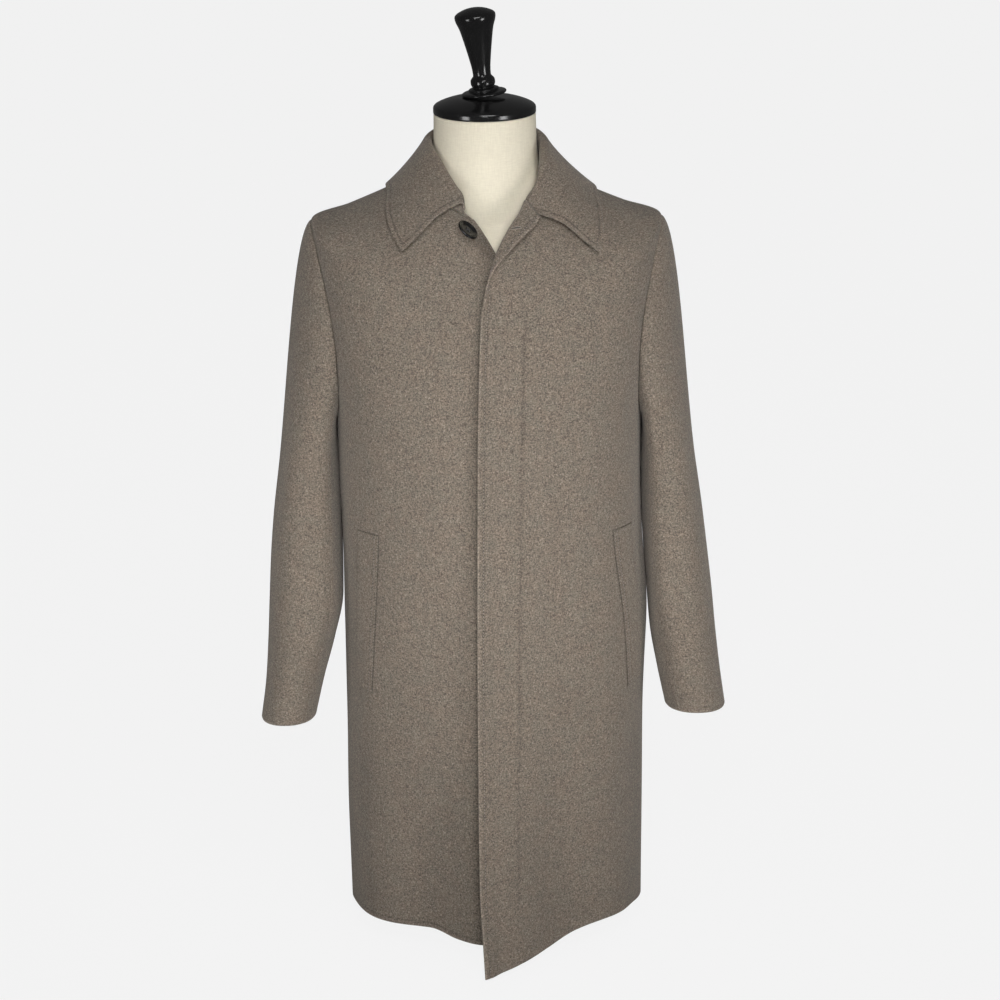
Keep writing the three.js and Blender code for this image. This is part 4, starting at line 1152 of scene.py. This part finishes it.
def clouded(name, values, cloud, colours, gloss=None, bump=None):
    # A finish whose colour, and where given its roughness and height, follow one soft noise of this scale.
    made, tree, shader = material(name, values)
    fog = noise(tree, node(tree, "ShaderNodeTexCoord").outputs["Object"], *cloud)
    tree.links.new(ramp(tree, fog, colours), shader.inputs["Base Color"])
    if gloss:
        inputs = {0: fog, 1: 0.3, 2: 0.7, 3: gloss[0], 4: gloss[1]}
        rough = node(tree, "ShaderNodeMapRange", inputs=inputs).outputs[0]
        tree.links.new(rough, shader.inputs["Roughness"])
    if bump:
        inputs = {"Height": fog, "Strength": bump[0], "Distance": bump[1]}
        raised = node(tree, "ShaderNodeBump", inputs=inputs)
        tree.links.new(raised.outputs["Normal"], shader.inputs["Normal"])
    return made


threadMaterial = clouded(
    "matching_thread",
    {"Roughness": 0.7, "Sheen Weight": 0.1},
    (900,),
    [(0.3, (0.214, 0.186, 0.157)), (0.7, (0.357, 0.314, 0.268))],
)
darkThreadMaterial = clouded(
    "dark_thread",
    {"Roughness": 0.6, "Sheen Weight": 0.2},
    (1100,),
    [(0.3, (0.012, 0.011, 0.011)), (0.7, (0.035, 0.033, 0.032))],
)
lacquerMaterial = clouded(
    "black_lacquer",
    {"Specular IOR Level": 0.4},
    (40, 3, 0.6),
    [(0.3, (0.006, 0.006, 0.0063)), (0.7, (0.011, 0.0107, 0.0107))],
    gloss=(0.1, 0.22),
)
hornMaterial = clouded(
    "black_horn",
    {"Specular IOR Level": 0.35},
    (260, 3, 0.65),
    [(0.35, (0.004, 0.004, 0.0045)), (0.7, (0.009, 0.0088, 0.009))],
    gloss=(0.1, 0.2),
)
ironMaterial = clouded(
    "cast_iron",
    {"Metallic": 0.7},
    (120, 4, 0.7),
    [(0.3, (0.02, 0.02, 0.021)), (0.7, (0.05, 0.049, 0.048))],
    gloss=(0.4, 0.65),
    bump=(0.2, 0.0006),
)


finishCloth(rightFrontPiece, "front_right", rightPoints)
finishCloth(leftFrontPiece, "front_left", leftPoints)
finishCloth(backPiece, "back", backPoints)
finishCloth(collarPiece, "collar", collarGrid)
for piece, nodeName, points in sleevePieces:
    finishCloth(piece, nodeName, points)
for k, (piece, nodeName, points, *_) in enumerate(weltPieces):
    finishCloth(piece, nodeName, points)
otherCloth = [p[0] for p in sleevePieces + weltPieces]
for made, pieces in (
    (woolMaterial, [rightFrontPiece, leftFrontPiece, backPiece, collarPiece, *otherCloth]),
    (threadMaterial, [*stitchRows, wrapPiece]),
    (darkThreadMaterial, [crossPiece, shankPiece, slitShadePiece]),
    (linenMaterial, [formPiece]),
    (lacquerMaterial, [capPiece, finialPiece]),
    (hornMaterial, [buttonPiece]),
):
    for piece in pieces:
        piece.data.materials.clear()
        piece.data.materials.append(made)
for name in ("pole", "base"):
    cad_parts[name].material_slots[0].material = ironMaterial
print("materials set")

# Floor and light
studio = {"reach": 40, "floor": 0.05, "glow": 0.872, "air": 0.12}
# A pale floor that turns up into a dome of the same radius, far away.
turn = np.linspace(0, 2 * np.pi, 97)[None, :]
rise = np.concatenate([[0, 0.5], np.linspace(0, np.pi / 2, 25)])[:, None]
out = np.concatenate([[0, 0.5], np.cos(rise[2:, 0])])[:, None]
up = np.concatenate([[0, 0], np.sin(rise[2:, 0])])[:, None]
dome = np.stack([out * np.cos(turn), out * np.sin(turn), up + 0 * turn], -1) * studio["reach"] * 1000
floor = makeMesh("floor", dome.reshape(-1, 3), gridQuads(np.arange(dome.shape[0] * 97).reshape(-1, 97)))
floor.visible_diffuse = False  # the lamps and the air light the coat, not the floor's glow
floor.visible_glossy = False
floor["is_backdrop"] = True
paleGrey = (*[studio["floor"]] * 3, 1)
paper, tree, shader = material(
    "pale_floor", {"Base Color": paleGrey, "Roughness": 1.0, "Specular IOR Level": 0.0}
)
shader.inputs["Emission Color"].default_value = (1, 1, 1, 1)
shader.inputs["Emission Strength"].default_value = studio["glow"]
floor.data.materials.append(paper)

world = bpy.data.worlds.new("studio")
world.use_nodes = True
world.node_tree.nodes["Background"].inputs["Color"].default_value = (1, 1, 1, 1)
world.node_tree.nodes["Background"].inputs["Strength"].default_value = studio["air"]
scene.world = world


def softbox(name, place, target, size, power, spread):
    data = bpy.data.lights.new(name, "AREA")
    data.shape = "RECTANGLE"
    data.size, data.size_y = size
    data.energy = power
    data.spread = math.radians(spread)
    lamp = bpy.data.objects.new(name, data)
    scene.collection.objects.link(lamp)
    lamp.location = place
    aim = Vector(target) - Vector(place)
    lamp.rotation_euler = aim.to_track_quat("-Z", "Y").to_euler()
    return lamp


softbox("front", (0, -3.6, 1.3), (0, 0, 0.52), (0.8, 0.5), 1.7, 24)
softbox("left", (-2.0, -2.2, 0.5), (0, 0, 0.7), (0.8, 0.8), 8, 120)
softbox("right", (2.0, -2.2, 0.5), (0, 0, 0.7), (0.8, 0.8), 10.5, 120)
softbox("high", (0.4, -2.7, 2.9), (0, 0, 0.75), (1.6, 1.2), 22, 120)
print("lit")

low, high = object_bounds()
